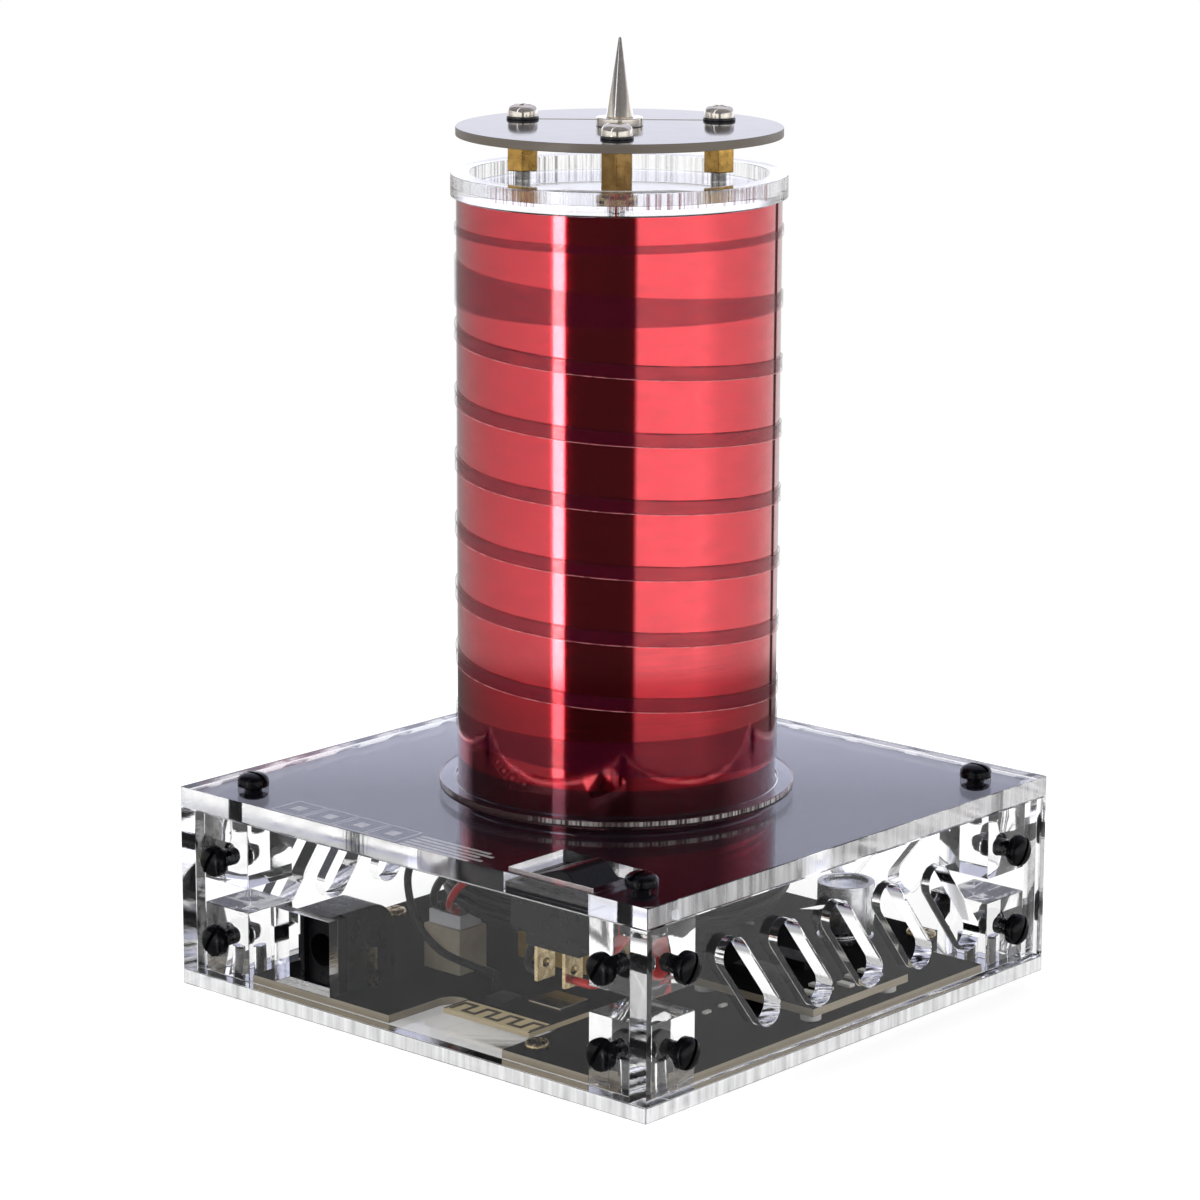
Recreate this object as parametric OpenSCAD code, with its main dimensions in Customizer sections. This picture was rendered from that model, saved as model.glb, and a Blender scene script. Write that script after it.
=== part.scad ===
// Desktop resonant transformer: a clear square case with its circuit boards,
// and a tall single-layer coil that carries a flat top electrode and a spike.
// Origin at the centre of the case's underside, +Z up, millimetres.
// The control side, with the power inlet, faces -Y and the visible vents face +X.

/* [Case] */
// Side of the square case
case_w = 120; // [114:1:140]
// Thickness of the bottom plate
floor_t = 3; // [2.5:0.5:5]
// Height of the four walls
wall_h = 32.8; // [30:0.2:44]
// Thickness of the walls
wall_t = 4; // [3:0.5:4.5]
// Thickness of the black sheet between the walls and the top plate
mask_t = 0.2; // [0.1:0.1:0.5]
// Distance of the black sheet from the edge of the top plate
mask_inset = 2.4; // [1:0.2:3.5]
// Corner radius of the black sheet
mask_r = 4.5; // [2:0.5:8]
// Thickness of the clear top plate
lid_t = 4; // [3:0.5:5]
// Width of the ledge that the top plate leaves inside the coil's tube
lid_ledge = 4; // [2:0.5:8]

/* [Corner blocks] */
// Side of a corner block, seen from above
block_w = 12; // [10:0.5:13]
// Height of a corner block
block_h = 14; // [12:0.5:15]
// Height of the lower wall screws above the bottom plate
low_screw_rise = 8; // [7:0.5:9]
// Distance of the upper wall screws below the top of the walls
high_screw_drop = 8.8; // [7:0.2:10]

/* [Screws] */
// Thread diameter of the case screws
screw_d = 3; // [2.5:0.5:3.5]
// Head diameter of the case screws
head_d = 6.2; // [5:0.2:7]
// Head height of the case screws
head_h = 2.6; // [1.8:0.2:3.2]
// Length of a wall screw under its head
wall_screw_len = 8; // [6:0.5:9]
// Length of a top or bottom screw under its head
lid_screw_len = 8.5; // [7:0.5:9.5]
// Width of the slot across a screw head
slot_w = 0.9; // [0.6:0.1:1.2]
// Depth of the slot across a screw head
slot_d = 1.1; // [0.6:0.1:1.4]

/* [Vents] */
// Vent slots in each slotted wall
vent_count = 5; // [3:1:6]
// Distance of the outermost slots' centres from the corner blocks
vent_side = 13.4; // [12:0.1:15]
// Width of a slot
vent_w = 6.4; // [5:0.2:7]
// Length of a slot between the centres of its round ends
vent_len = 16.2; // [12:0.2:17]
// Lean of a slot from the horizontal, in degrees
vent_lean = 52; // [45:1:65]

/* [Coil] */
// Outer radius of the coil's tube
tube_r = 30.5; // [28:0.5:32]
// Wall of the coil's tube
tube_wall = 2.5; // [1.5:0.5:4]
// Height of the coil's tube
tube_h = 115; // [80:1:150]
// Thickness of the single wire layer on the tube
wire_layer_t = 0.4; // [0.2:0.1:0.8]
// Bare tube below the wire layer
wire_margin = 0.4; // [0.2:0.1:4]
// Bare tube above the wire layer
wire_top_margin = 0.4; // [0.2:0.1:1]
// Thickness of the clear tape over the wire
tape_t = 0.2; // [0.1:0.1:0.4]
// Rise of the tape in one turn
tape_pitch = 12.6; // [10:0.1:16]
// Width of the strip where one turn of tape covers the last
lap_w = 2.6; // [1.5:0.1:4]
// Thickness of that strip
lap_t = 0.2; // [0.1:0.1:0.4]
// Distance of the tape's level first turn from the upper end of the tube
tape_top_drop = 5.5; // [5:0.1:8]
// Distance of its level last turn from the lower end of the tube
tape_low_rise = 0.8; // [0.5:0.1:2]
// Lap of the uppermost strip of tape over the first turn
end_lap_w = 1.6; // [1:0.1:2.5]
// Radial gap round the taped coil
coil_gap = 0.3; // [0.2:0.1:0.6]
// Width of the clear ring at the coil's foot
ring_w = 3.1; // [2:0.1:5]
// Thickness of the ring at the coil's foot
ring_t = 1.6; // [1:0.2:5]

/* [Top end] */
// Overhang of the clear disc beyond the coil's tube
end_disc_over = 1.5; // [1.2:0.1:6]
// Thickness of the clear disc on the coil
end_disc_t = 4.3; // [3:0.1:6]
// Thickness of the disc's floor inside its rim
end_floor_t = 1.5; // [1:0.1:2.5]
// Width of the disc's rim
end_rim_w = 3.6; // [2.5:0.1:3.7]
// Distance of the standoffs' centres from the inner face of the tube
standoff_in = 6.3; // [5.5:0.1:8]
// Direction of the front standoff, in degrees from +X
standoff_turn = -50; // [-90:1:0]
// Width of a standoff across its flats
hex_af = 5.6; // [5:0.1:7]
// Height of the top electrode above the clear disc
top_gap = 7; // [5:0.5:12]
// Length of the hexagon of a short standoff
short_hex_len = 8.1; // [6:0.1:8.6]
// Radius of the top electrode
top_disc_r = 31; // [28:0.5:40]
// Thickness of the top electrode
top_disc_t = 1.7; // [1:0.1:3]
// Diameter of the electrode's screw heads
pan_d = 5.8; // [5:0.1:6.4]
// Height of the electrode's screw heads
pan_h = 2.3; // [1.6:0.1:2.8]
// Length of the electrode's screws under the head
pan_len = 5; // [4:0.5:5]
// Thickness of a washer
washer_t = 0.5; // [0.4:0.1:0.8]
// Diameter of the spike's collar
collar_d = 9; // [7:0.5:12]
// Thickness of the spike's collar
collar_t = 1.7; // [1:0.1:3]
// Diameter of the spike's foot
spike_d = 5.2; // [4:0.2:7]
// Height of the spike above its collar
spike_h = 15; // [10:0.5:25]
// Radius of the spike's rounded point
spike_tip_r = 0.3; // [0.2:0.1:0.5]

/* [Switch] */
// Length of the switch opening in the top plate, along X
switch_len = 20.6; // [20.2:0.1:22]
// Width of the switch opening, along Y
switch_wid = 14.8; // [14:0.1:15]
// Distance of the opening's centre from the outer face of the right wall
switch_side = 25.6; // [25.4:0.1:27]
// Distance of the opening from the outer face of the front wall
switch_edge = 3; // [2.6:0.1:5]
// Depth of the housing's rim below the top of the plate
switch_sink = 2.4; // [1.5:0.1:3]
// Height of the switch housing
housing_h = 11.6; // [11:0.1:14]
// Half the length of the rocker
rocker_half = 7.9; // [7:0.1:8]
// Width of the rocker, along Y
rocker_wid = 10.8; // [9:0.2:10.8]
// Height above its pivot at which the rocker's two faces would meet
crest_h = 8; // [7.4:0.1:8.4]
// Radius of the rounded ridge between the two faces
crest_r = 3; // [1:0.2:4]
// Slope of the rocker's two faces, in degrees
rocker_slope = 31; // [24:1:33]
// Tilt of the rocker to either side, in degrees
rocker_tilt = 11; // [8:1:13]
// Height of the pivot above the housing's foot
pivot_rise = 7.6; // [7:0.1:8]
// Diameter of the rocker's pivot bosses
pivot_d = 2.4; // [2:0.1:3]

/* [Power inlet] */
// Width of the inlet, along X
inlet_w = 9.3; // [8:0.1:11]
// Height of the inlet
inlet_h = 15.8; // [14:0.1:17]
// Depth of the inlet, along Y
inlet_depth = 18; // [14:0.5:22]
// Distance of the inlet's centre from the outer face of the left wall
inlet_side = 33.1; // [32:0.1:36]
// Side of the square opening in the wall
inlet_hole = 14.8; // [13:0.1:16]
// Height of the opening above the bottom plate
inlet_hole_rise = 3; // [2:0.2:6]
// Diameter of the round bore for a plug
inlet_bore_d = 6.4; // [5.5:0.1:7]
// Diameter of the centre pin
inlet_pin_d = 2.1; // [1.6:0.1:2.6]

/* [Boards] */
// Thickness of a circuit board
board_t = 1.6; // [1:0.1:2]
// Gap between the main board and the walls
board_gap = 0.5; // [0.2:0.1:1]
// Width of the notch in the main board's front edge
notch_w = 29; // [24:0.5:32]
// Depth of the notch
notch_d = 17; // [12:0.5:18]
// Distance of the notch's centre from the middle, along X
notch_x = 7.8; // [6:0.1:9]
// Radius of the notch's inner corners
notch_r = 3.5; // [2:0.5:5]
// Length of the driver board, along Y
driver_len = 29; // [24:0.5:32]
// Width of the driver board, along X
driver_wid = 32; // [26:0.5:34]
// Gap between the main board and the driver board
driver_rise = 1.6; // [1.5:0.1:3]
// Width of the radio board, along X
radio_wid = 22; // [18:0.5:24]
// Length of the radio board, along Y
radio_len = 20; // [17:0.5:22]
// Thickness of the radio board
radio_t = 1; // [0.8:0.1:1.2]

/* [Primary] */
// Outer radius of the primary's former
former_r = 31.2; // [29:0.1:32]
// Wall of the primary's former
former_wall = 2; // [1.5:0.1:3]
// Height of the primary's former
former_h = 18; // [16.5:0.1:19]
// Turns of the primary
primary_turns = 6; // [3:1:6]
// Diameter of the primary's insulated wire
primary_wire_d = 1.5; // [1.2:0.1:1.6]
// Rise of the primary in one turn
primary_pitch = 2.3; // [2.1:0.1:2.4]

/* [Hidden] */
$fn = 96;
// General
cut_over = 1;
fit_gap = 0.05;
free_gap = 0.1;
half_w = case_w / 2;
inner_w = half_w - wall_t;
wall_top = floor_t + wall_h;
mask_top = wall_top + mask_t;
lid_top = mask_top + lid_t;
wall_mid = floor_t + wall_h / 2;
corner_at = inner_w - block_w / 2;
screw_r = screw_d / 2;
head_r = head_d / 2;
corner_turns = [0, 90, 180, 270];
low_screw_z = floor_t + low_screw_rise;
high_screw_z = wall_top - high_screw_drop;
lid_screw_hole_r = screw_r + free_gap;
thread_r = screw_r + fit_gap;
sink_h = head_r - screw_r;
// Outline of a domed head, as shares of its radius and height
dome_shares = [[1, 0.44], [0.97, 0.6], [0.88, 0.77], [0.7, 0.91], [0.42, 0.98]];
lid_hole_r = tube_r - tube_wall - lid_ledge;
vent_pitch = 2 * (corner_at - block_w / 2 - vent_side) / (vent_count - 1);

// Coil
wire_r = tube_r + wire_layer_t;
tape_r = wire_r + tape_t;
tube_top = lid_top + tube_h;
ring_top = lid_top + ring_t;
ring_in_r = tape_r + coil_gap;
lap_rings = 50;
lap_sink_share = cos(180 / lap_rings);
lap_low_r = tape_r / lap_sink_share + fit_gap / 2;
tape_w = tape_pitch + lap_w;
tape_high = tube_top - tape_top_drop;
last_turn_high = lid_top + tape_low_rise + tape_w;
tape_leave_turn = 46;
lap_from = tape_w / tape_pitch;
lap_to = (tape_high - last_turn_high - lap_w - lap_t) / tape_pitch;

// Top end
end_disc_r = tube_r + end_disc_over;
standoff_ring_r = tube_r - tube_wall - standoff_in;
end_disc_top = tube_top + end_disc_t;
disc_low = end_disc_top + top_gap;
end_floor_top = tube_top + end_floor_t;
disc_top = disc_low + top_disc_t;
stand_r = hex_af / 2 / cos(30);
stud_r = screw_r;
stand_turns = [standoff_turn, standoff_turn + 120, standoff_turn + 240];
under_head_h = 2;
lug_t = 1.2;
under_grip = 2;
under_screw_len = end_floor_t + lug_t + under_grip;
top_grip = 2.9;
collar_top = disc_top + collar_t;
spike_stud_out = 3.2;
spike_stud_len = top_disc_t + collar_t + spike_stud_out;
spike_nut_h = 2.4;
spike_nut_af = 5.5;
small_hole_r = 1.6;
short_floor_t = 1;

// Fine leads, one from each end of the wire layer
lead_d = 0.8;
lead_hole_r = 0.6;
lead_drop = 2;
lead_bend = 1.2;
lead_out = 1.4;
lead_at_r = standoff_ring_r + pan_d / 2 + lead_out;
low_lead_turn = 185;
low_lead_in = 4;
low_lead_at_r = lid_hole_r - low_lead_in;
lug_r = 3.6;
lug_wid = 4;
lug_end_r = lead_at_r + lug_wid / 2;

// Switch
switch_x = half_w - switch_side;
switch_y = -half_w + switch_edge + switch_wid / 2;
rim_top = lid_top - switch_sink;
housing_low = rim_top - housing_h;
pivot_z = housing_low + pivot_rise;
rim_len = switch_len - 4 * free_gap;
rim_wid = switch_wid - 4 * free_gap;
body_len = 2 * (corner_at - block_w / 2 - switch_x) - 2 * free_gap;
body_wid = 2 * (inner_w + switch_y) - 2 * free_gap;
housing_side = 0.6;
cavity_half = body_len / 2 - housing_side;
cavity_wid = rocker_wid + 4 * free_gap;
cavity_deep = 4.4;
pivot_in = 0.35;
rocker_foot_share = 0.72;
rocker_foot = 1.6;
foot_h = 2.4;
foot_len = 13;
foot_wid = 11;
blade_wid = 4.8;
blade_t = 0.8;
blade_len = 9.5;
blade_in = 1.5;
blade_hole_d = 1.8;
blade_hole_share = 1 / 3;
blade_spread = 6.8;

// Power inlet
inlet_x = half_w - inlet_side;
board_top = floor_t + board_t;
inlet_front = -inner_w + free_gap;
inlet_back_r = 6;
inlet_rim = 1.1;
inlet_recess = 1.5;
inlet_bore_len = 11;
pin_len = 5;
contact_wid = 1;
contact_t = 0.5;
contact_at_share = 0.6;
tag_wid = 3.6;

// Boards
board_half = inner_w - board_gap;
board_corner = corner_at - block_w / 2 - board_gap;
radio_shift = 3;
radio_back = 8;
radio_x = notch_x + radio_shift;
radio_y = -board_half + radio_back;
antenna_len = 6;
antenna_t = 0.1;
antenna_strip = 0.8;
antenna_legs = 7;
chip_side = 5;
chip_t = 0.9;
shield_side = 8;
driver_side = 1.5;
driver_x = inner_w - driver_side - driver_wid / 2;
driver_y = 6.5;
driver_low = board_top + driver_rise;
driver_top = driver_low + board_t;
spacer_r = 2;
spacer_in = 3;
board_screw_d = 2.5;
board_screw_head_d = 4.6;
board_screw_head_h = 1.5;
notch_screw_in = 4;
notch_screw_share = -0.906;
// The other board screws' places, as shares of the main board's half width
board_screw_shares = [[-0.91, -0.16], [0.66, 0.9], [-0.66, 0.9]];
board_screw_places = concat([[notch_x + notch_w / 2 + notch_screw_in, notch_screw_share * board_half]],
    [for (s = board_screw_shares) s * board_half]);

// Supply header with its plug
header_len = 9.5;
header_wid = 7.7;
header_h = 9;
header_aside = 9.1;
header_behind = 12.3;
header_x = -inlet_x + header_aside;
header_y = inlet_front + inlet_depth + header_behind;
plug_len = 8.4;
plug_wid = 6;
plug_h = 2.8;
supply_d = 1.6;

// Parts on the boards
can_d = 11.4;
can_h = 12.5;
can_shares = [0.472, 0.676];
can_x = can_shares[0] * board_half;
can_y = can_shares[1] * board_half;
can_rim = 0.6;
can_groove = 0.5;
sink_len = 26;
sink_depth = 9;
sink_rise = 20;
sink_y = 12;
sink_place_share = 0.713;
sink_x = -inner_w + sink_place_share * (driver_x - driver_wid / 2 + inner_w);
sink_web = 2.5;
fin_t = 1.2;
fin_count = 6;
transistor_w = 10;
transistor_h = 15;
transistor_t = 4.4;
transistor_tab_t = 1.3;
transistor_body_h = 9.2;
transistor_spread = 13;
transistor_leg = 3;
leg_w = 0.8;
leg_t = 0.5;
leg_pitch = 2.5;
tab_hole_drop = 2.6;
tab_screw_d = 3;
tab_screw_head_d = 5.5;
tab_screw_head_h = 2;
film_len = 18;
film_wid = 8;
film_h = 12;
film_x = -4;
film_place_share = 0.434;
film_low_y = header_y + header_wid / 2;
film_y = film_low_y + film_place_share * (sink_y - transistor_t - film_low_y);

// Primary
former_low = wall_top - former_h;
primary_rings = 24;
primary_sides = 8;
primary_at_r = former_r / cos(180 / primary_rings) + primary_wire_d / 2 + fit_gap;
primary_low = former_low + primary_wire_d;
primary_start = 105;
primary_extra_share = 1 / 3;
primary_steps = primary_rings * (primary_turns + primary_extra_share);

// Small pale parts on the driver board
pale_count = 5;
pale_len = 3.2;
pale_wid = 1.6;
pale_h = 0.6;
pale_row_share = 0.6;

// Routes of the leads, hand-chosen round points
red_route = [[-16, -27.2, 16.4], [-16, -27.2, 16.7], [-16, -27.2, 17], [-15.8, -28, 17.5], [-15.2, -29.6, 18],
    [-13.5, -31.7, 19.4], [-11, -33.6, 22], [-8, -34.6, 25], [-3, -35.4, 28.5], [3, -36, 31], [11, -37, 32.4],
    [20, -38.6, 33], [31, -40, 32.4], [38, -40.4, 30.4], [41.4, -41, 26.6], [42.2, -43.4, 22.8],
    [41.4, -47, 20.2], [39.4, -49.3, 19.3], [37.4, -49.6, 19.2], [36, -49.6, 19.2], [34.8, -49.6, 19.2]];
black_route = [[-19.6, -27.2, 16.4], [-19.6, -27.2, 16.7], [-19.6, -27.2, 17], [-19.3, -28, 17.5],
    [-18.5, -30, 18], [-16.8, -32.6, 19.6], [-14.4, -34.8, 22.8], [-11, -36.4, 26.2], [-6, -37.8, 29.4],
    [1, -38.6, 31.4], [9, -39.6, 31.4], [16, -41, 30], [20, -43, 26.6], [21.6, -46, 23], [22.6, -48.8, 20.2],
    [24, -49.6, 19.3], [25.4, -49.6, 19.2], [26.4, -49.6, 19.2], [27.2, -49.6, 19.2]];
primary_down = [[-4, 32.9, 18.8], [0.5, 33.7, 16.6], [3, 34, 12], [3.4, 34, 8.4], [3.4, 34, 6.4], [3.4, 34, 4.6]];
primary_up = [[-20, -26, 33], [-18, -30.5, 32.4], [-17.2, -36, 30.6], [-17, -39.4, 27], [-15.6, -40.4, 22],
    [-13.5, -40, 17], [-9.6, -38, 12.4], [-5.4, -33.8, 9.4], [-3.2, -30.4, 7.6], [-3, -29.8, 6.4],
    [-3, -29.8, 5.4], [-3, -29.8, 4.6]];

clear_tint = [0.86, 0.89, 0.92, 0.45];
board_black = [0.06, 0.06, 0.07];
plastic_black = [0.05, 0.05, 0.05];

// Functions

function ring_point(r, turn) = [r * cos(turn), r * sin(turn)];

// Direction of a route at point i
function heading(pts, i) =
    let(a = pts[max(i - 1, 0)], b = pts[min(i + 1, len(pts) - 1)]) (b - a) / norm(b - a);

// A smooth curve through the points, with the given number of steps a stretch
function curve_point(a, b, c, d, t) =
    0.5 * ((2 * b) + (c - a) * t + (2 * a - 5 * b + 4 * c - d) * t * t + (3 * b - a - 3 * c + d) * t * t * t);
function smooth_route(pts, steps) =
    [for (i = [0 : len(pts) - 2])
        let(a = pts[max(i - 1, 0)], b = pts[i], c = pts[i + 1], d = pts[min(i + 2, len(pts) - 1)])
        for (s = [0 : steps - 1])
            curve_point(a, b, c, d, s / steps),
     pts[len(pts) - 1]];

// Unit vector square to a direction, leaning on the last one so the tube doesn't twist
function square_to(dir, last) = let(v = last - (last * dir) * dir) v / norm(v);
function frames(pts, i, last, out) =
    i == len(pts) ? out :
    let(dir = heading(pts, i), u = square_to(dir, last))
    frames(pts, i + 1, u, concat(out, [[u, cross(dir, u)]]));

// Least gap between stretches of a tube that lie apart along it
function least_gap(pts, d, apart) =
    min([for (i = [0 : len(pts) - 1], j = [i + apart : 1 : len(pts) - 1]) norm(pts[i] - pts[j])]) - d;

// The wound route of the primary, from its lower end to its upper end
function primary_helix() =
    [for (k = [0 : primary_steps])
        let(turn = primary_start + 360 * k / primary_rings)
        [primary_at_r * cos(turn), primary_at_r * sin(turn), primary_low + primary_pitch * k / primary_rings]];

// Modules used by several pieces

// One closed tube of the given diameter along a route
module tube_along(pts, d, sides, up = [0, 0, 1]) {
    f = frames(pts, 0, up, []);
    rings = [for (i = [0 : len(pts) - 1], s = [0 : sides - 1])
        pts[i] + (f[i][0] * cos(360 * s / sides) + f[i][1] * sin(360 * s / sides)) * d / 2];
    faces = concat(
        [[for (s = [sides - 1 : -1 : 0]) s]],
        [for (i = [0 : len(pts) - 2], s = [0 : sides - 1])
            let(a = i * sides + s, b = i * sides + (s + 1) % sides) [a, b, b + sides]],
        [for (i = [0 : len(pts) - 2], s = [0 : sides - 1])
            let(a = i * sides + s, b = i * sides + (s + 1) % sides) [a, b + sides, a + sides]],
        [[for (s = [0 : sides - 1]) (len(pts) - 1) * sides + s]]);
    polyhedron(points = rings, faces = [for (q = faces) [for (k = [len(q) - 1 : -1 : 0]) q[k]]]);
}

module rounded_square(w, r) {
    hull()
        for (x = [-1, 1], y = [-1, 1])
            translate([x * (w / 2 - r), y * (w / 2 - r)]) circle(r, $fn = 32);
}

// A domed, slotted screw with its head's seat at z = 0 and its shank downwards
module slotted_screw(len) {
    difference() {
        rotate_extrude() polygon(concat([[0, 0], [head_r, 0]],
            [for (s = dome_shares) [s[0] * head_r, s[1] * head_h]], [[0, head_h]]));
        translate([-head_r - cut_over, -slot_w / 2, head_h - slot_d])
            cube([2 * (head_r + cut_over), slot_w, slot_d + cut_over]);
    }
    translate([0, 0, -len]) cylinder(r = screw_r, h = len);
}

// A countersunk, slotted screw with its flat face at z = 0 and its shank upwards
module sunk_screw(len) {
    difference() {
        cylinder(r1 = head_r, r2 = screw_r, h = sink_h);
        translate([-head_r - cut_over, -slot_w / 2, -cut_over])
            cube([2 * (head_r + cut_over), slot_w, cut_over + slot_d / 2]);
    }
    translate([0, 0, sink_h]) cylinder(r = screw_r, h = len - sink_h);
}

// A pan-head screw with a cross recess, seat at z = 0, shank downwards
module pan_screw(d, hd, hh, len) {
    cross_w = hd / 7;
    cross_l = hd * 0.6;
    difference() {
        rotate_extrude() polygon([[0, 0], [hd / 2, 0], [hd / 2, hh * 0.55], [hd * 0.44, hh * 0.85],
            [hd * 0.33, hh], [0, hh]]);
        for (turn = [0, 90])
            rotate([0, 0, turn]) translate([-cross_l / 2, -cross_w / 2, hh * 0.45])
                cube([cross_l, cross_w, hh]);
    }
    translate([0, 0, -len]) cylinder(d = d, h = len);
}

// A wall standing on its long edge, outer face at y = 0, with its four screw holes
module wall_sheet(len) {
    difference() {
        translate([-len / 2, 0, floor_t]) cube([len, wall_t, wall_h]);
        for (x = [-1, 1], z = [low_screw_z, high_screw_z])
            translate([x * corner_at, -cut_over, z]) rotate([-90, 0, 0])
                cylinder(r = lid_screw_hole_r, h = wall_t + 2 * cut_over);
    }
}

// One leaning vent slot, cut along Y
module vent_cut() {
    rotate([90, 0, 0]) rotate([0, 0, -vent_lean])
        translate([0, 0, -wall_t - cut_over]) {
            for (side = [-1, 1])
                translate([side * vent_len / 2, 0, 0]) cylinder(d = vent_w, h = wall_t + 2 * cut_over);
            translate([-vent_len / 2, -vent_w / 2, 0]) cube([vent_len, vent_w, wall_t + 2 * cut_over]);
        }
}

module vented_wall(len) {
    difference() {
        wall_sheet(len);
        for (k = [0 : vent_count - 1])
            translate([(k - (vent_count - 1) / 2) * vent_pitch, 0, wall_mid]) vent_cut();
    }
}

// Places its children at the four corner screws
module at_corners() {
    for (turn = corner_turns) rotate([0, 0, turn]) translate([corner_at, corner_at, 0]) children();
}

// A corner block with its base at z = 0 and its wall screws at the given height; plate_grip
// is how far the plate's screw reaches into it, from above if up is true
module corner_block(screw_z, plate_grip, up) {
    side_grip = wall_screw_len - wall_t + free_gap;
    difference() {
        translate([-block_w / 2, -block_w / 2, 0]) cube([block_w, block_w, block_h]);
        translate([0, 0, up ? block_h - plate_grip : -cut_over])
            cylinder(r = thread_r, h = plate_grip + cut_over);
        translate([0, block_w / 2 - side_grip, screw_z]) rotate([-90, 0, 0])
            cylinder(r = thread_r, h = side_grip + cut_over);
        translate([block_w / 2 - side_grip, 0, screw_z]) rotate([0, 90, 0])
            cylinder(r = thread_r, h = side_grip + cut_over);
    }
}

// Case

module bottom_plate() color(clear_tint) {
    difference() {
        translate([-half_w, -half_w, 0]) cube([case_w, case_w, floor_t]);
        at_corners() {
            translate([0, 0, -cut_over]) cylinder(r = lid_screw_hole_r, h = floor_t + 2 * cut_over);
            cylinder(r1 = head_r + free_gap, r2 = screw_r + free_gap, h = sink_h);
        }
        for (place = board_screw_places)
            translate([place[0], place[1], floor_t / 2])
                cylinder(d = board_screw_d + 2 * fit_gap, h = floor_t);
    }
}

module front_wall() color(clear_tint)
    translate([0, -half_w, 0]) difference() {
        wall_sheet(2 * inner_w);
        translate([-inlet_x - inlet_hole / 2, -cut_over, floor_t + inlet_hole_rise])
            cube([inlet_hole, wall_t + 2 * cut_over, inlet_hole]);
    }

module back_wall() color(clear_tint)
    rotate([0, 0, 180]) translate([0, -half_w, 0]) vented_wall(2 * inner_w);

module left_wall() color(clear_tint)
    rotate([0, 0, -90]) translate([0, -half_w, 0]) vented_wall(case_w);

module right_wall() color(clear_tint)
    rotate([0, 0, 90]) translate([0, -half_w, 0]) vented_wall(case_w);

module plate_openings(low, high) {
    translate([0, 0, low - cut_over]) cylinder(r = lid_hole_r, h = high - low + 2 * cut_over);
    translate([switch_x - switch_len / 2, switch_y - switch_wid / 2, low - cut_over])
        cube([switch_len, switch_wid, high - low + 2 * cut_over]);
    at_corners() translate([0, 0, low - cut_over])
        cylinder(r = lid_screw_hole_r, h = high - low + 2 * cut_over);
}

module top_plate() color(clear_tint)
    difference() {
        translate([-half_w, -half_w, mask_top]) cube([case_w, case_w, lid_t]);
        plate_openings(mask_top, lid_top);
    }

module top_mask() color([0.02, 0.02, 0.03])
    difference() {
        translate([0, 0, wall_top]) linear_extrude(mask_t) rounded_square(case_w - 2 * mask_inset, mask_r);
        plate_openings(wall_top, mask_top);
    }

module lower_blocks() color(clear_tint)
    at_corners() translate([0, 0, floor_t]) corner_block(low_screw_rise, lid_screw_len - floor_t + free_gap, false);

module upper_blocks() color(clear_tint)
    at_corners() translate([0, 0, wall_top - block_h])
        corner_block(block_h - high_screw_drop, lid_screw_len - lid_t - mask_t + free_gap, true);

module wall_screws() color(plastic_black)
    for (turn = corner_turns, x = [-1, 1], z = [low_screw_z, high_screw_z])
        rotate([0, 0, turn]) translate([x * corner_at, -half_w, z]) rotate([90, 0, 0])
            rotate([0, 0, 60]) slotted_screw(wall_screw_len);

module lid_screws() color(plastic_black)
    at_corners() translate([0, 0, lid_top]) slotted_screw(lid_screw_len);

module floor_screws() color(plastic_black)
    at_corners() sunk_screw(lid_screw_len);

// Coil

module coil_tube() color([0.9, 0.9, 0.88])
    translate([0, 0, lid_top]) difference() {
        cylinder(r = tube_r, h = tube_h);
        translate([0, 0, -cut_over]) cylinder(r = tube_r - tube_wall, h = tube_h + 2 * cut_over);
        rotate([0, 0, standoff_turn]) translate([0, 0, tube_h - lead_drop]) rotate([0, 90, 0])
            cylinder(r = lead_hole_r, h = tube_r + cut_over);
        rotate([0, 0, low_lead_turn]) translate([0, 0, lead_drop]) rotate([0, 90, 0])
            cylinder(r = lead_hole_r, h = tube_r + cut_over);
    }

module secondary_winding() color([0.72, 0.07, 0.12])
    translate([0, 0, lid_top + wire_margin]) difference() {
        cylinder(r = wire_r, h = tube_h - wire_margin - wire_top_margin);
        translate([0, 0, -cut_over])
            cylinder(r = tube_r + fit_gap / 2, h = tube_h + 2 * cut_over);
    }

module winding_tape() color([0.9, 0.4, 0.42, 0.5])
    translate([0, 0, lid_top]) difference() {
        cylinder(r = tape_r, h = tube_h);
        translate([0, 0, -cut_over]) cylinder(r = wire_r + fit_gap / 2, h = tube_h + 2 * cut_over);
    }

// Upper edge of the tape, the given number of turns after it leaves its level first turn
function tape_edge(turns) = tape_high - tape_pitch * turns;

// One strip of tape over tape, from rows of turns, lower edge and upper edge, the lowest row first
module lap_strip(rows) {
    points = [for (row = rows) let(turn = tape_leave_turn + 360 * row[0])
        each [for (p = [[lap_low_r, row[1]], [lap_low_r + lap_t, row[1]], [lap_low_r + lap_t, row[2]],
            [lap_low_r, row[2]]]) concat(ring_point(p[0], turn), [p[1]])]];
    last = 4 * (len(rows) - 1);
    sides = [for (k = [0 : len(rows) - 2], s = [0 : 3])
        let(a = 4 * k + s, b = 4 * k + (s + 1) % 4) each [[a, b + 4, b], [a, a + 4, b + 4]]];
    polyhedron(points = points, faces = concat([[0, 1, 2, 3]], sides, [[for (s = [3 : -1 : 0]) last + s]]));
}

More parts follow.
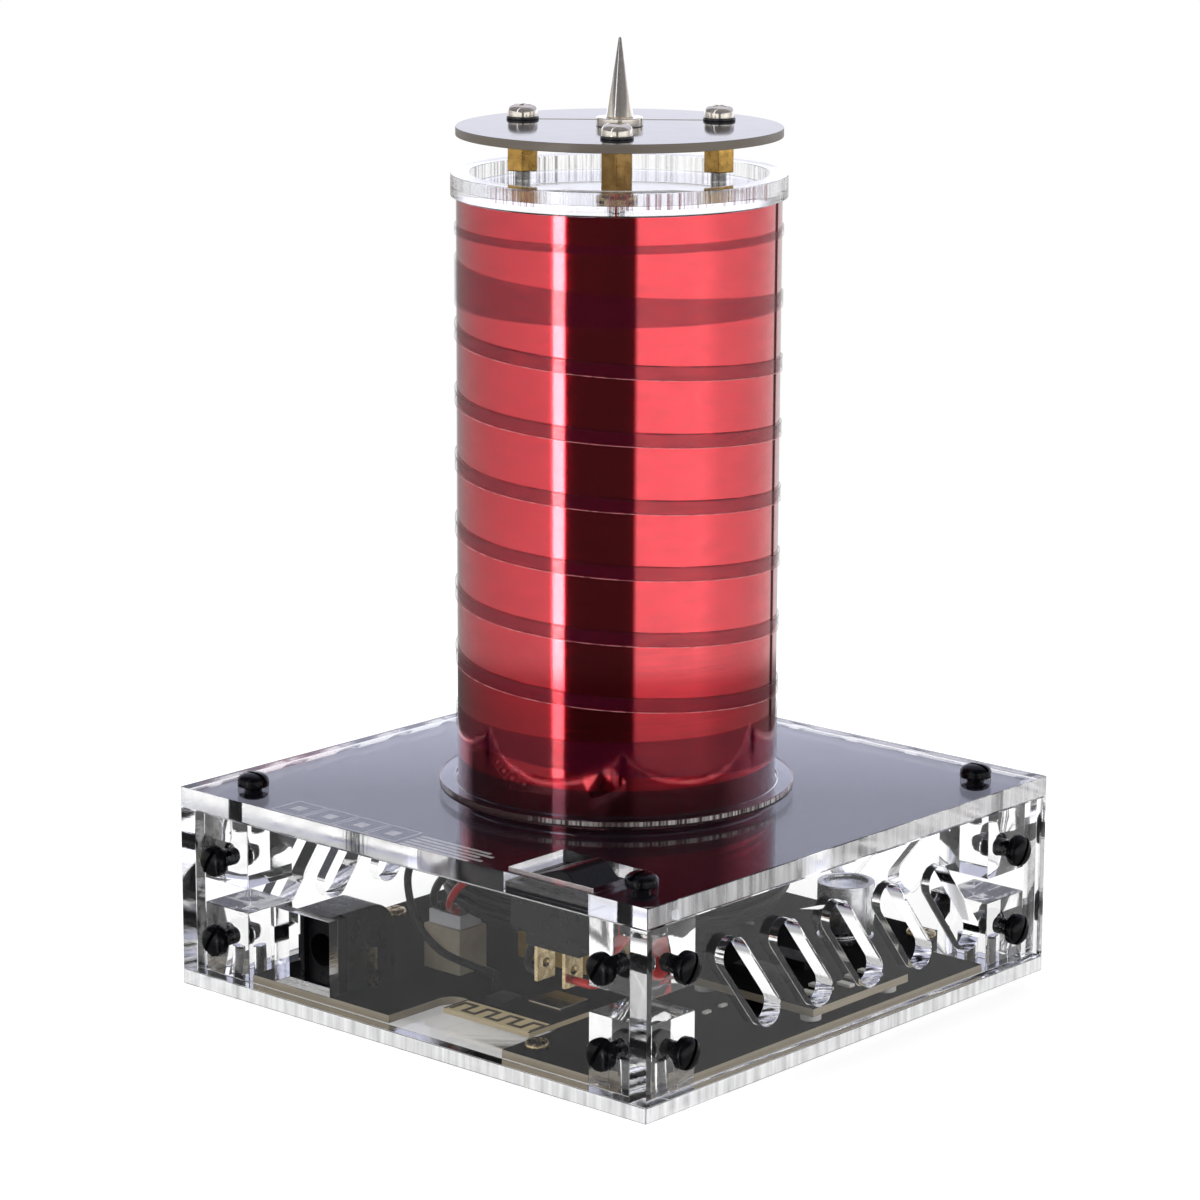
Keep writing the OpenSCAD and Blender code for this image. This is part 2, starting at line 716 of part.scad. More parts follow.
// Where the tape lies over itself: its first turn, the climbing turns, its last turn and the end strip
module tape_overlap() color([0.5, 0.1, 0.22]) {
    steps = floor((lap_to - lap_from) * lap_rings);
    last_from = (tape_high - tape_w - last_turn_high) / tape_pitch;
    lap_strip([for (k = [steps : -1 : 0]) let(t = lap_from + k / lap_rings)
        [t, tape_edge(t) - lap_w, tape_edge(t)]]);
    lap_strip([for (k = [1 : lap_rings - 1]) let(t = lap_from - k / lap_rings)
        [t, tape_edge(lap_from) + fit_gap, tape_edge(t)]]);
    lap_strip([for (k = [lap_rings - 1 : -1 : 1]) let(t = last_from + k / lap_rings)
        [t, tape_edge(t) - tape_w, last_turn_high - fit_gap]]);
    translate([0, 0, tape_high - end_lap_w]) difference() {
        cylinder(r = lap_low_r + lap_t, h = end_lap_w);
        translate([0, 0, -cut_over]) cylinder(r = lap_low_r, h = end_lap_w + 2 * cut_over);
    }
}

module base_ring() color(clear_tint)
    translate([0, 0, lid_top]) difference() {
        cylinder(r = ring_in_r + ring_w, h = ring_t);
        translate([0, 0, -cut_over]) cylinder(r = ring_in_r, h = ring_t + 2 * cut_over);
    }

// Top end

module at_standoffs(turns = stand_turns) {
    for (turn = turns) rotate([0, 0, turn]) translate([standoff_ring_r, 0, 0]) children();
}

module end_disc() color(clear_tint)
    translate([0, 0, tube_top]) difference() {
        cylinder(r = end_disc_r, h = end_disc_t);
        translate([0, 0, end_floor_t]) cylinder(r = end_disc_r - end_rim_w, h = end_disc_t);
        at_standoffs() translate([0, 0, -cut_over])
            cylinder(r = screw_r + free_gap, h = end_disc_t + 2 * cut_over);
        translate([0, 0, -cut_over]) cylinder(r = small_hole_r, h = end_disc_t + 2 * cut_over);
        rotate([0, 0, standoff_turn]) translate([lead_at_r, 0, -cut_over])
            cylinder(r = lead_hole_r, h = end_disc_t + 2 * cut_over);
    }

module disc_screws() color([0.75, 0.75, 0.76]) {
    at_standoffs([stand_turns[0]]) translate([0, 0, tube_top]) mirror([0, 0, 1])
        pan_screw(screw_d, pan_d, under_head_h, under_screw_len);
    at_standoffs([stand_turns[1], stand_turns[2]]) translate([0, 0, tube_top]) mirror([0, 0, 1])
        difference() {
            cylinder(r = stand_r, h = under_head_h, $fn = 6);
            translate([0, 0, -cut_over]) cylinder(r = thread_r, h = under_head_h + 2 * cut_over);
        }
}

module tall_standoff() color([0.78, 0.62, 0.3])
    at_standoffs([stand_turns[0]]) translate([0, 0, end_floor_top + lug_t]) difference() {
        cylinder(r = stand_r, h = disc_low - end_floor_top - lug_t, $fn = 6);
        translate([0, 0, -cut_over]) cylinder(r = thread_r, h = disc_low - end_floor_top + 2 * cut_over);
    }

// Two standoffs that each stand on a stud of their own
module short_standoffs() color([0.78, 0.62, 0.3])
    at_standoffs([stand_turns[1], stand_turns[2]]) {
        translate([0, 0, disc_low - short_hex_len]) difference() {
            cylinder(r = stand_r, h = short_hex_len, $fn = 6);
            translate([0, 0, short_floor_t]) cylinder(r = thread_r, h = short_hex_len);
        }
        translate([0, 0, tube_top - under_head_h])
            cylinder(r = stud_r, h = disc_low - short_hex_len - tube_top + under_head_h);
    }

module top_disc() color(board_black)
    translate([0, 0, disc_low]) difference() {
        cylinder(r = top_disc_r, h = top_disc_t);
        at_standoffs() translate([0, 0, -cut_over])
            cylinder(r = screw_r + free_gap, h = top_disc_t + 2 * cut_over);
        translate([0, 0, -cut_over]) cylinder(r = screw_r + free_gap, h = top_disc_t + 2 * cut_over);
    }

module top_washers() color([0.25, 0.25, 0.26])
    at_standoffs() translate([0, 0, disc_top]) difference() {
        cylinder(r = pan_d / 2 + 2 * free_gap, h = washer_t);
        translate([0, 0, -cut_over]) cylinder(r = screw_r + free_gap, h = washer_t + 2 * cut_over);
    }

module top_screws() color([0.72, 0.72, 0.74]) {
    short_len = top_disc_t + washer_t + top_grip;
    at_standoffs([stand_turns[0]]) translate([0, 0, disc_top + washer_t])
        pan_screw(screw_d, pan_d, pan_h, pan_len);
    at_standoffs([stand_turns[1], stand_turns[2]]) translate([0, 0, disc_top + washer_t])
        pan_screw(screw_d, pan_d, pan_h, short_len);
}

module spike_collar() color([0.7, 0.7, 0.72])
    translate([0, 0, disc_top]) difference() {
        cylinder(d = collar_d, h = collar_t);
        translate([0, 0, -cut_over]) cylinder(r = screw_r + free_gap, h = collar_t + 2 * cut_over);
    }

// The spike with the threaded stud under it
module discharge_spike() color([0.7, 0.7, 0.72])
    translate([0, 0, collar_top]) {
        cylinder(d1 = spike_d, d2 = 2 * spike_tip_r, h = spike_h - spike_tip_r);
        translate([0, 0, spike_h - spike_tip_r]) sphere(spike_tip_r);
        translate([0, 0, -spike_stud_len]) cylinder(r = screw_r, h = spike_stud_len);
    }

module spike_nut() color([0.75, 0.75, 0.76])
    translate([0, 0, disc_low - spike_nut_h]) difference() {
        cylinder(r = spike_nut_af / 2 / cos(30), h = spike_nut_h, $fn = 6);
        translate([0, 0, -cut_over]) cylinder(r = thread_r, h = spike_nut_h + 2 * cut_over);
    }

module lead_lug() color([0.8, 0.78, 0.7])
    rotate([0, 0, standoff_turn]) translate([0, 0, end_floor_top]) difference() {
        union() {
            translate([standoff_ring_r, 0, 0]) cylinder(r = lug_r, h = lug_t);
            translate([standoff_ring_r, -lug_wid / 2, 0]) cube([lug_end_r - standoff_ring_r, lug_wid, lug_t]);
        }
        translate([standoff_ring_r, 0, -cut_over]) cylinder(r = screw_r + free_gap, h = lug_t + 2 * cut_over);
        translate([lead_at_r, 0, -cut_over]) cylinder(r = lead_hole_r, h = lug_t + 2 * cut_over);
    }

// The upper end of the wire, led in through the tube's wall and up through the disc to the lug
module top_lead() color([0.6, 0.25, 0.15])
    rotate([0, 0, standoff_turn])
        tube_along(smooth_route([[tube_r, 0, tube_top - lead_drop],
            [lead_at_r + lead_bend, 0, tube_top - lead_drop],
            [lead_at_r, 0, tube_top - lead_drop + lead_bend], [lead_at_r, 0, tube_top],
            [lead_at_r, 0, end_floor_top], [lead_at_r, 0, end_floor_top + lug_t + lead_d]], 3), lead_d, 8, [0, 1, 0]);

// The lower end of the wire, led in through the tube's wall and down to the main board
module low_lead() color([0.6, 0.25, 0.15])
    rotate([0, 0, low_lead_turn])
        tube_along(smooth_route([[tube_r, 0, lid_top + lead_drop],
            [tube_r - tube_wall, 0, lid_top + lead_drop],
            [low_lead_at_r + lead_bend, 0, lid_top + lead_drop],
            [low_lead_at_r, 0, lid_top + lead_drop - lead_bend],
            [low_lead_at_r, 0, wall_mid], [low_lead_at_r, 0, board_top]], 3), lead_d, 8, [0, 1, 0]);

// Switch

module switch_housing() color(plastic_black)
    translate([switch_x, switch_y, 0]) difference() {
        union() {
            translate([-rim_len / 2, -rim_wid / 2, wall_top]) cube([rim_len, rim_wid, rim_top - wall_top]);
            translate([-body_len / 2, -body_wid / 2, housing_low + foot_h])
                cube([body_len, body_wid, wall_top - housing_low - foot_h]);
            translate([-foot_len / 2, -foot_wid / 2, housing_low]) cube([foot_len, foot_wid, foot_h]);
        }
        translate([-cavity_half, -cavity_wid / 2, pivot_z - cavity_deep])
            cube([2 * cavity_half, cavity_wid, housing_h]);
        translate([0, cavity_wid / 2 + pivot_in + free_gap, pivot_z]) rotate([90, 0, 0])
            cylinder(d = pivot_d + 2 * fit_gap, h = cavity_wid + 2 * (pivot_in + free_gap));
        for (x = [0, -blade_spread])
            translate([x - blade_t / 2 - fit_gap, -blade_wid / 2 - fit_gap, housing_low - cut_over])
                cube([blade_t + 2 * fit_gap, blade_wid + 2 * fit_gap, blade_in + cut_over + fit_gap]);
    }

// The rocker, drawn level about its pivot
module rocker_level() {
    end_z = crest_h - rocker_half * tan(rocker_slope);
    foot = rocker_half * rocker_foot_share;
    round_z = crest_h - crest_r / cos(rocker_slope);
    rotate([90, 0, 0]) {
        translate([0, 0, -rocker_wid / 2]) linear_extrude(rocker_wid) {
            polygon([[-rocker_half, end_z], [-foot, -rocker_foot], [foot, -rocker_foot], [rocker_half, end_z],
                [crest_r * sin(rocker_slope), round_z + crest_r * cos(rocker_slope)],
                [-crest_r * sin(rocker_slope), round_z + crest_r * cos(rocker_slope)]]);
            translate([0, round_z]) circle(crest_r);
        }
        translate([0, 0, -cavity_wid / 2 - pivot_in]) cylinder(d = pivot_d, h = cavity_wid + 2 * pivot_in);
    }
}

module switch_rocker() color([0.03, 0.03, 0.03])
    translate([switch_x, switch_y, pivot_z]) rotate([0, rocker_tilt, 0]) rocker_level();

module switch_terminals() color([0.8, 0.72, 0.5])
    for (x = [0, -blade_spread])
        translate([switch_x + x, switch_y, housing_low + blade_in - blade_len]) difference() {
            translate([-blade_t / 2, -blade_wid / 2, 0]) cube([blade_t, blade_wid, blade_len]);
            translate([-blade_t, 0, blade_len * blade_hole_share]) rotate([0, 90, 0])
                cylinder(d = blade_hole_d, h = 2 * blade_t);
        }

// Power inlet

module power_inlet() color(plastic_black) {
    bore_z = inlet_h / 2;
    translate([-inlet_x, inlet_front, board_top]) difference() {
        translate([inlet_w / 2, 0, 0]) rotate([0, -90, 0]) linear_extrude(inlet_w) difference() {
            square([inlet_h, inlet_depth]);
            translate([inlet_h - inlet_back_r, inlet_depth - inlet_back_r]) difference() {
                square(inlet_back_r + cut_over);
                circle(inlet_back_r);
            }
        }
        translate([-inlet_w / 2 + inlet_rim, -cut_over, inlet_rim])
            cube([inlet_w - 2 * inlet_rim, inlet_recess + cut_over, inlet_h - 2 * inlet_rim]);
        translate([0, -cut_over, bore_z]) rotate([-90, 0, 0])
            cylinder(d = inlet_bore_d, h = inlet_bore_len + cut_over);
        translate([0, inlet_bore_len - cut_over, bore_z]) rotate([-90, 0, 0])
            cylinder(d = inlet_pin_d + 2 * fit_gap, h = inlet_depth - inlet_bore_len + 2 * cut_over);
    }
}

module inlet_pin() color([0.8, 0.72, 0.5])
    translate([-inlet_x, inlet_front + inlet_depth + contact_t, board_top + inlet_h / 2]) rotate([90, 0, 0])
        cylinder(d = inlet_pin_d, h = contact_t + inlet_depth - inlet_bore_len + pin_len);

// Solder tags at the back and side of the inlet
module inlet_contacts() color([0.8, 0.72, 0.5]) {
    translate([-inlet_x, inlet_front + inlet_depth, board_top]) difference() {
        translate([-tag_wid / 2, 0, 0]) cube([tag_wid, contact_t, inlet_h / 2 + tag_wid / 2]);
        translate([0, -cut_over, inlet_h / 2]) rotate([-90, 0, 0])
            cylinder(d = inlet_pin_d + 2 * fit_gap, h = contact_t + 2 * cut_over);
    }
    translate([-inlet_x + inlet_w / 2, inlet_front + inlet_depth * contact_at_share, board_top])
        cube([2 * contact_wid, contact_t, inlet_h / 2]);
}

// Boards

module main_board_outline() {
    difference() {
        square(2 * board_half, center = true);
        for (turn = corner_turns) rotate([0, 0, turn])
            translate([board_corner, board_corner]) square(board_half - board_corner + cut_over);
        translate([notch_x, -board_half]) {
            translate([-notch_w / 2, -cut_over]) square([notch_w, notch_d - notch_r + cut_over]);
            translate([-notch_w / 2 + notch_r, 0]) square([notch_w - 2 * notch_r, notch_d]);
            for (side = [-1, 1])
                translate([side * (notch_w / 2 - notch_r), notch_d - notch_r]) circle(notch_r);
        }
        for (place = board_screw_places) translate(place) circle(d = board_screw_d + 2 * free_gap);
    }
}

module main_board() color(board_black)
    translate([0, 0, floor_t]) linear_extrude(board_t) main_board_outline();

module board_screws() color([0.78, 0.72, 0.55])
    for (place = board_screw_places)
        translate([place[0], place[1], board_top])
            pan_screw(board_screw_d, board_screw_head_d, board_screw_head_h, board_t + floor_t / 2 - free_gap);

module radio_board() color(board_black)
    translate([radio_x - radio_wid / 2, radio_y, board_top]) cube([radio_wid, radio_len, radio_t]);

// The printed aerial: a copper strip that runs to and fro over the board's front edge
module radio_antenna() color([0.85, 0.7, 0.35]) {
    pitch = (radio_wid - 2 * antenna_strip) / antenna_legs;
    leg = antenna_len - 2 * antenna_strip;
    translate([radio_x - radio_wid / 2 + antenna_strip, radio_y + antenna_strip, board_top + radio_t])
        linear_extrude(antenna_t) {
            for (k = [0 : antenna_legs])
                translate([k * pitch, 0]) square([antenna_strip, leg]);
            for (k = [0 : antenna_legs - 1])
                translate([k * pitch, k % 2 == 0 ? leg - antenna_strip : 0]) square([pitch, antenna_strip]);
        }
}

module radio_chip() color([0.1, 0.1, 0.1])
    translate([radio_x - radio_wid / 4 - chip_side / 2, radio_y + antenna_len + chip_side / 2, board_top + radio_t])
        cube([chip_side, chip_side, chip_t]);

module radio_shield() color([0.75, 0.75, 0.76])
    translate([radio_x + radio_wid / 4 - shield_side / 2, radio_y + radio_len - shield_side - 2 * chip_t,
        board_top + radio_t]) cube([shield_side, shield_side, 2 * chip_t]);

module driver_board() color(board_black)
    translate([driver_x - driver_wid / 2, driver_y - driver_len / 2, driver_low])
        cube([driver_wid, driver_len, board_t]);

module board_spacers() color([0.85, 0.85, 0.82])
    for (x = [-1, 1], y = [-1, 1])
        translate([driver_x + x * (driver_wid / 2 - spacer_in), driver_y + y * (driver_len / 2 - spacer_in),
            board_top]) cylinder(r = spacer_r, h = driver_rise);

module driver_chips() color([0.1, 0.1, 0.1])
    for (k = [0, 1])
        translate([driver_x - driver_wid / 4, driver_y + (k - 3 / 4) * driver_len / 3, driver_top])
            cube([2 * chip_side, chip_side, 2 * chip_t]);

// Pale surface resistors along the board's outer edge
module driver_resistors() color([0.85, 0.84, 0.8])
    for (k = [0 : pale_count - 1])
        translate([driver_x + driver_wid / 2 - 3 * spacer_r - (k % 2) * pale_wid,
            driver_y + (k / (pale_count - 1) - 1 / 2) * driver_len * pale_row_share, driver_top])
            cube([pale_len, pale_wid, pale_h]);

module main_capacitor() color([0.75, 0.76, 0.78])
    translate([can_x, can_y, board_top]) difference() {
        cylinder(d = can_d, h = can_h);
        translate([0, 0, can_h - can_rim]) cylinder(d = can_d - 4 * can_rim, h = can_rim + cut_over);
        translate([0, 0, 3 * can_groove]) difference() {
            cylinder(d = can_d + cut_over, h = 2 * can_groove);
            translate([0, 0, -cut_over]) cylinder(d = can_d - 2 * can_groove, h = 2 * can_groove + 2 * cut_over);
        }
    }

module film_capacitor() color([0.75, 0.62, 0.4])
    translate([film_x - film_len / 2, film_y - film_wid / 2, board_top]) cube([film_len, film_wid, film_h]);

// Finned heat sink, its flat face towards the transistors
module heat_sink() color([0.12, 0.12, 0.13])
    translate([sink_x - sink_len / 2, sink_y, board_top]) {
        difference() {
            union() {
                cube([sink_len, sink_web, sink_rise]);
                for (k = [0 : fin_count - 1])
                    translate([k * (sink_len - fin_t) / (fin_count - 1), 0, 0])
                        cube([fin_t, sink_depth, sink_rise]);
            }
            for (side = [-1, 1])
                translate([sink_len / 2 + side * transistor_spread / 2, -cut_over,
                    transistor_leg + transistor_h - tab_hole_drop]) rotate([-90, 0, 0])
                    cylinder(d = tab_screw_d + 2 * fit_gap, h = sink_depth + 2 * cut_over);
        }
    }

module power_transistors() color([0.13, 0.13, 0.14])
    for (side = [-1, 1])
        translate([sink_x + side * transistor_spread / 2, sink_y, board_top]) difference() {
            union() {
                translate([-transistor_w / 2, -transistor_t, transistor_leg])
                    cube([transistor_w, transistor_t, transistor_body_h]);
                translate([-transistor_w / 2, -transistor_tab_t, transistor_leg])
                    cube([transistor_w, transistor_tab_t, transistor_h]);
                for (k = [-1, 0, 1])
                    translate([k * leg_pitch - leg_w / 2, -transistor_t / 2 - leg_t / 2, 0])
                        cube([leg_w, leg_t, transistor_leg + fit_gap]);
            }
            translate([0, -transistor_t - cut_over, transistor_leg + transistor_h - tab_hole_drop]) rotate([-90, 0, 0])
                cylinder(d = tab_screw_d + 2 * free_gap, h = transistor_t + 2 * cut_over);
        }

module transistor_screws() color([0.75, 0.75, 0.76])
    for (side = [-1, 1])
        translate([sink_x + side * transistor_spread / 2, sink_y - transistor_tab_t,
            board_top + transistor_leg + transistor_h - tab_hole_drop]) rotate([90, 0, 0])
            pan_screw(tab_screw_d, tab_screw_head_d, tab_screw_head_h, transistor_tab_t + sink_web);

module supply_header() color([0.86, 0.82, 0.72])
    translate([header_x - header_len / 2, header_y - header_wid / 2, board_top])
        cube([header_len, header_wid, header_h]);

module supply_plug() color([0.8, 0.81, 0.84])
    translate([header_x, header_y, board_top + header_h]) {
        translate([-plug_len / 2, -plug_wid / 2, 0]) cube([plug_len, plug_wid, plug_h]);
    }

module supply_lead_red() color([0.75, 0.1, 0.08]) tube_along(smooth_route(red_route, 3), supply_d, 8, [1, 0, 0]);

module supply_lead_black() color([0.06, 0.06, 0.06])
    tube_along(smooth_route(black_route, 3), supply_d, 8, [1, 0, 0]);

// Primary

module primary_former() color([0.04, 0.04, 0.04])
    translate([0, 0, former_low]) difference() {
        cylinder(r = former_r, h = former_h);
        translate([0, 0, -cut_over]) cylinder(r = former_r - former_wall, h = former_h + 2 * cut_over);
    }

module primary_winding() color([0.06, 0.06, 0.06]) {
    wound = primary_helix();
    low_end = [for (i = [len(primary_down) - 1 : -1 : 0]) primary_down[i]];
    route = concat(smooth_route(concat(low_end, [wound[0]]), 3), [for (i = [1 : len(wound) - 2]) wound[i]],
        smooth_route(concat([wound[len(wound) - 1]], primary_up), 3));
    echo("least gap of the primary winding to itself", least_gap(route, primary_wire_d, primary_rings / 2));
    tube_along(route, primary_wire_d, primary_sides, [1, 0, 0]);
}

bottom_plate();
front_wall();
back_wall();
left_wall();
right_wall();
top_plate();
top_mask();
lower_blocks();
upper_blocks();
wall_screws();
lid_screws();
floor_screws();
coil_tube();
secondary_winding();
winding_tape();
tape_overlap();
base_ring();
end_disc();
disc_screws();
tall_standoff();
short_standoffs();
top_disc();
top_washers();
top_screws();
spike_collar();
discharge_spike();
spike_nut();
lead_lug();
top_lead();
low_lead();
switch_housing();
switch_rocker();
switch_terminals();
power_inlet();
inlet_pin();
inlet_contacts();
main_board();
board_screws();
radio_board();
radio_antenna();
radio_chip();
radio_shield();
driver_board();
board_spacers();
driver_chips();
driver_resistors();
main_capacitor();
film_capacitor();
heat_sink();
power_transistors();
transistor_screws();
supply_header();
supply_plug();
supply_lead_red();
supply_lead_black();
primary_former();
primary_winding();
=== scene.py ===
import math

import bpy
from bpy.props import FloatProperty, FloatVectorProperty, PointerProperty
from mathutils import Matrix, Vector


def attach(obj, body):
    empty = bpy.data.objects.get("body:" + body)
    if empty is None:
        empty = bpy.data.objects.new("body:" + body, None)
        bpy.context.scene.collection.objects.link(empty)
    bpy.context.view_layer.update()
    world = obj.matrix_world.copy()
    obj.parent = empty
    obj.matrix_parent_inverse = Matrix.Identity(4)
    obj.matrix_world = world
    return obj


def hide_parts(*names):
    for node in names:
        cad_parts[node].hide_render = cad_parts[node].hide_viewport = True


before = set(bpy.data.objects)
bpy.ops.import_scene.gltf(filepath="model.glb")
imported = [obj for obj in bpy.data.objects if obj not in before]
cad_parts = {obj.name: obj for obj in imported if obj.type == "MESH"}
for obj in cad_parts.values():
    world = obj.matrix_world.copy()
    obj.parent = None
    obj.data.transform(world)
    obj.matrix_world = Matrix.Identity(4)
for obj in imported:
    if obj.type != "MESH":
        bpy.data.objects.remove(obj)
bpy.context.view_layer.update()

bl_info = {
    "name": "Desktop resonant transformer",
    "version": (1, 0, 0),
    "blender": (4, 5, 0),
    "location": "3D View > Sidebar > Transformer",
    "description": "Dresses the packed model of a clear-cased resonant transformer for rendering",
    "category": "Object",
}

# Places and sizes of the construction model, in millimetres
MM = 0.001
HALF = 60.0
FLOOR_T = 3.0
BOARD_TOP = 4.6
MASK_LOW = 35.97
LID_LOW = 36.0
LID_TOP = 40.0
CORNER_AT = 50.0
LOW_SCREW_Z = 11.0
HIGH_SCREW_Z = 27.0
HEAD_R = 3.1
HEAD_H = 2.6
SHANK_R = 1.7
TAPE_R = 31.1
RING_R = 34.5
END_DISC_R = 32.0
# Heights where the wire's darker foot band ends: a painted reflection of the lid and ring
PAINTED_REFLECTION_FOOT = (46.2, 46.5)
TUBE_TOP = 155.0
STUD_TOP = (158.15, 158.25)
DISC_TOP = 159.3
PLATE_TOP = 168.0
COLLAR_TOP = 169.7
SPIKE_TIP = 184.7
STAND_R = 21.7
STAND_TURNS = (-50.0, 70.0, 190.0)
TAPE_HIGH = 149.5
TAPE_PITCH = 12.6
TAPE_W = 15.2
LAP_W = 2.6
TAPE_LEAVES = 46.0
LAST_TURN_HIGH = 56.0

# A film that carries marks lies this far off the clear face behind it, and ends this far off
FILM_NEAR = 0.005
FILM_FAR = 0.02
# Points nearer than this are one point, in metres
SAME_POINT = 1e-7
THIN = 0.0001


# Modelling by hand, in code

def choose(*objects):
    if bpy.context.object and bpy.context.object.mode != "OBJECT":
        bpy.ops.object.mode_set(mode="OBJECT")
    bpy.ops.object.select_all(action="DESELECT")
    for item in objects:
        item.select_set(True)
    bpy.context.view_layer.objects.active = objects[0] if objects else None


def settle(obj):
    choose(obj)
    bpy.ops.object.transform_apply(location=True, rotation=True, scale=True)
    return obj


def mend(obj, merge=None):
    """Merges points that are closer than merge, and turns every face outwards."""
    if obj.mode != "EDIT":
        choose(obj)
        bpy.ops.object.mode_set(mode="EDIT")
    bpy.ops.mesh.select_all(action="SELECT")
    if merge:
        bpy.ops.mesh.remove_doubles(threshold=merge)
    bpy.ops.mesh.normals_make_consistent(inside=False)
    bpy.ops.object.mode_set(mode="OBJECT")
    return obj


def apply_modifier(obj, kind, **values):
    choose(obj)
    step = obj.modifiers.new("step", kind)
    for key, value in values.items():
        setattr(step, key, value)
    bpy.ops.object.modifier_apply(modifier=step.name)
    return obj


def smooth(obj, degrees=30.0):
    choose(obj)
    bpy.ops.object.shade_smooth_by_angle(angle=math.radians(degrees))
    return obj


def soften(obj, width, segments=2, sharp=35.0, shaded=40.0):
    """Rounds the sharp edges and keeps the flats flat."""
    apply_modifier(obj, "BEVEL", width=width * MM, segments=segments, limit_method="ANGLE",
        angle_limit=math.radians(sharp))
    smooth(obj, shaded)
    if segments > 1:
        apply_modifier(obj, "WEIGHTED_NORMAL", keep_sharp=True)
    return obj


def block(name, low, high, soft=0.0):
    """A box from its lowest and highest corner, with rounded edges."""
    choose()
    middle = [(a + b) / 2 * MM for a, b in zip(low, high)]
    bpy.ops.mesh.primitive_cube_add(size=1.0, location=middle)
    obj = bpy.context.object
    obj.name = name
    obj.scale = [(b - a) * MM for a, b in zip(low, high)]
    settle(obj)
    return soften(obj, soft) if soft else obj


def turned(name, profile, sides=64, ring=False):
    """Turns a profile of (radius, height) points about the Z axis; a ring's profile closes on itself."""
    choose()
    radius, height = profile[0]
    bpy.ops.mesh.primitive_circle_add(vertices=sides, radius=radius * MM, location=(0, 0, height * MM),
        fill_type="NOTHING" if ring else "NGON")
    obj = settle(bpy.context.object)
    obj.name = name
    bpy.ops.object.mode_set(mode="EDIT")
    bpy.ops.mesh.select_all(action="SELECT")
    for wide, high in profile[1:] + (profile[:1] if ring else []):
        bpy.ops.mesh.extrude_region_move(TRANSFORM_OT_translate={"value": (0, 0, (high - height) * MM)})
        share = max(wide, THIN) / radius
        bpy.ops.transform.resize(value=(share, share, 1), center_override=(0, 0, high * MM))
        radius, height = max(wide, THIN), high
    if not ring and radius < 10 * THIN:
        bpy.ops.mesh.merge(type="COLLAPSE")
    return smooth(mend(obj, SAME_POINT))


def cut(obj, *tools):
    for tool in tools:
        apply_modifier(obj, "BOOLEAN", operation="DIFFERENCE", solver="EXACT", object=tool)
        bpy.data.objects.remove(tool)
    return obj


def unite(name, *parts):
    choose(*parts)
    if len(parts) > 1:
        bpy.ops.object.join()
    obj = bpy.context.view_layer.objects.active
    obj.name = name
    return obj


def repeat(name, pattern, places):
    """Copies the pattern to each place, each with its own mesh, and joins them to one piece."""
    copies = []
    for place in places:
        twin = pattern.copy()
        twin.data = pattern.data.copy()
        twin.data.transform(place)
        bpy.context.scene.collection.objects.link(twin)
        copies.append(twin)
    bpy.data.objects.remove(pattern)
    return unite(name, *copies)


def at(x, y, z, turn=0.0):
    return Matrix.Translation((x * MM, y * MM, z * MM)) @ Matrix.Rotation(math.radians(turn), 4, "Z")


def on_circle(radius, degrees, z):
    angle = math.radians(degrees)
    return radius * math.cos(angle), radius * math.sin(angle), z


def node_copy(node, name, shrink=0.0):
    """A merged copy of a construction node, to be finished and shown in its place."""
    obj = bpy.data.objects.new(name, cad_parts[node].data.copy())
    bpy.context.scene.collection.objects.link(obj)
    choose(obj)
    if obj.data.has_custom_normals:
        bpy.ops.mesh.customdata_custom_splitnormals_clear()
    bpy.ops.object.mode_set(mode="EDIT")
    bpy.ops.mesh.select_all(action="SELECT")
    bpy.ops.mesh.remove_doubles(threshold=10 * SAME_POINT)
    bpy.ops.mesh.dissolve_limited(angle_limit=math.radians(0.4))
    if shrink:
        bpy.ops.transform.shrink_fatten(value=-shrink * MM, use_even_offset=True)
    bpy.ops.object.mode_set(mode="OBJECT")
    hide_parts(node)
    return obj


def round_wire(name, points, diameter, sides=12):
    """A smooth round wire along a route of points in millimetres."""
    curve = bpy.data.curves.new(name, "CURVE")
    curve.dimensions = "3D"
    curve.bevel_depth = diameter / 2 * MM
    curve.bevel_resolution = max(1, sides // 4 - 1)
    curve.use_fill_caps = True
    line = curve.splines.new("POLY")
    line.points.add(len(points) - 1)
    for spot, place in zip(line.points, points):
        spot.co = (place[0] * MM, place[1] * MM, place[2] * MM, 1.0)
    obj = bpy.data.objects.new(name, curve)
    bpy.context.scene.collection.objects.link(obj)
    choose(obj)
    bpy.ops.object.convert(target="MESH")
    return smooth(mend(bpy.context.object, SAME_POINT), 60.0)


def eased(points, steps=6):
    """A smooth curve through the points, with the given number of steps a stretch."""
    spots = [Vector(p) for p in points]
    last = len(spots) - 1
    route = []
    for i in range(last):
        a, b = spots[max(i - 1, 0)], spots[i]
        c, d = spots[i + 1], spots[min(i + 2, last)]
        for s in range(steps):
            t = s / steps
            route.append(0.5 * (2 * b + (c - a) * t + (2 * a - 5 * b + 4 * c - d) * t * t
                + (3 * b - a - 3 * c + d) * t * t * t))
    route.append(spots[-1])
    return route


def done(obj, kind, body="case"):
    """Gives a finished piece its material and its body."""
    obj.data.materials.clear()
    obj.data.materials.append(MATERIALS[kind])
    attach(obj, body)
    return obj


def dress(rows):
    """Shows softened copies of nodes; a row has node, piece, slot (not used), material, edge radius and
    segments.
    """
    for node, name, slot, kind, width, segments in rows:
        body = "rocker" if node == "switch_rocker" else "case"
        done(soften(node_copy(node, name), width, segments), kind, body)


# Node trees

def put(tree, kind, **values):
    item = tree.nodes.new(kind)
    for key, value in values.items():
        setattr(item, key, value)
    return item


def feed(tree, socket, value):
    if isinstance(value, bpy.types.NodeSocket):
        tree.links.new(value, socket)
    else:
        socket.default_value = value


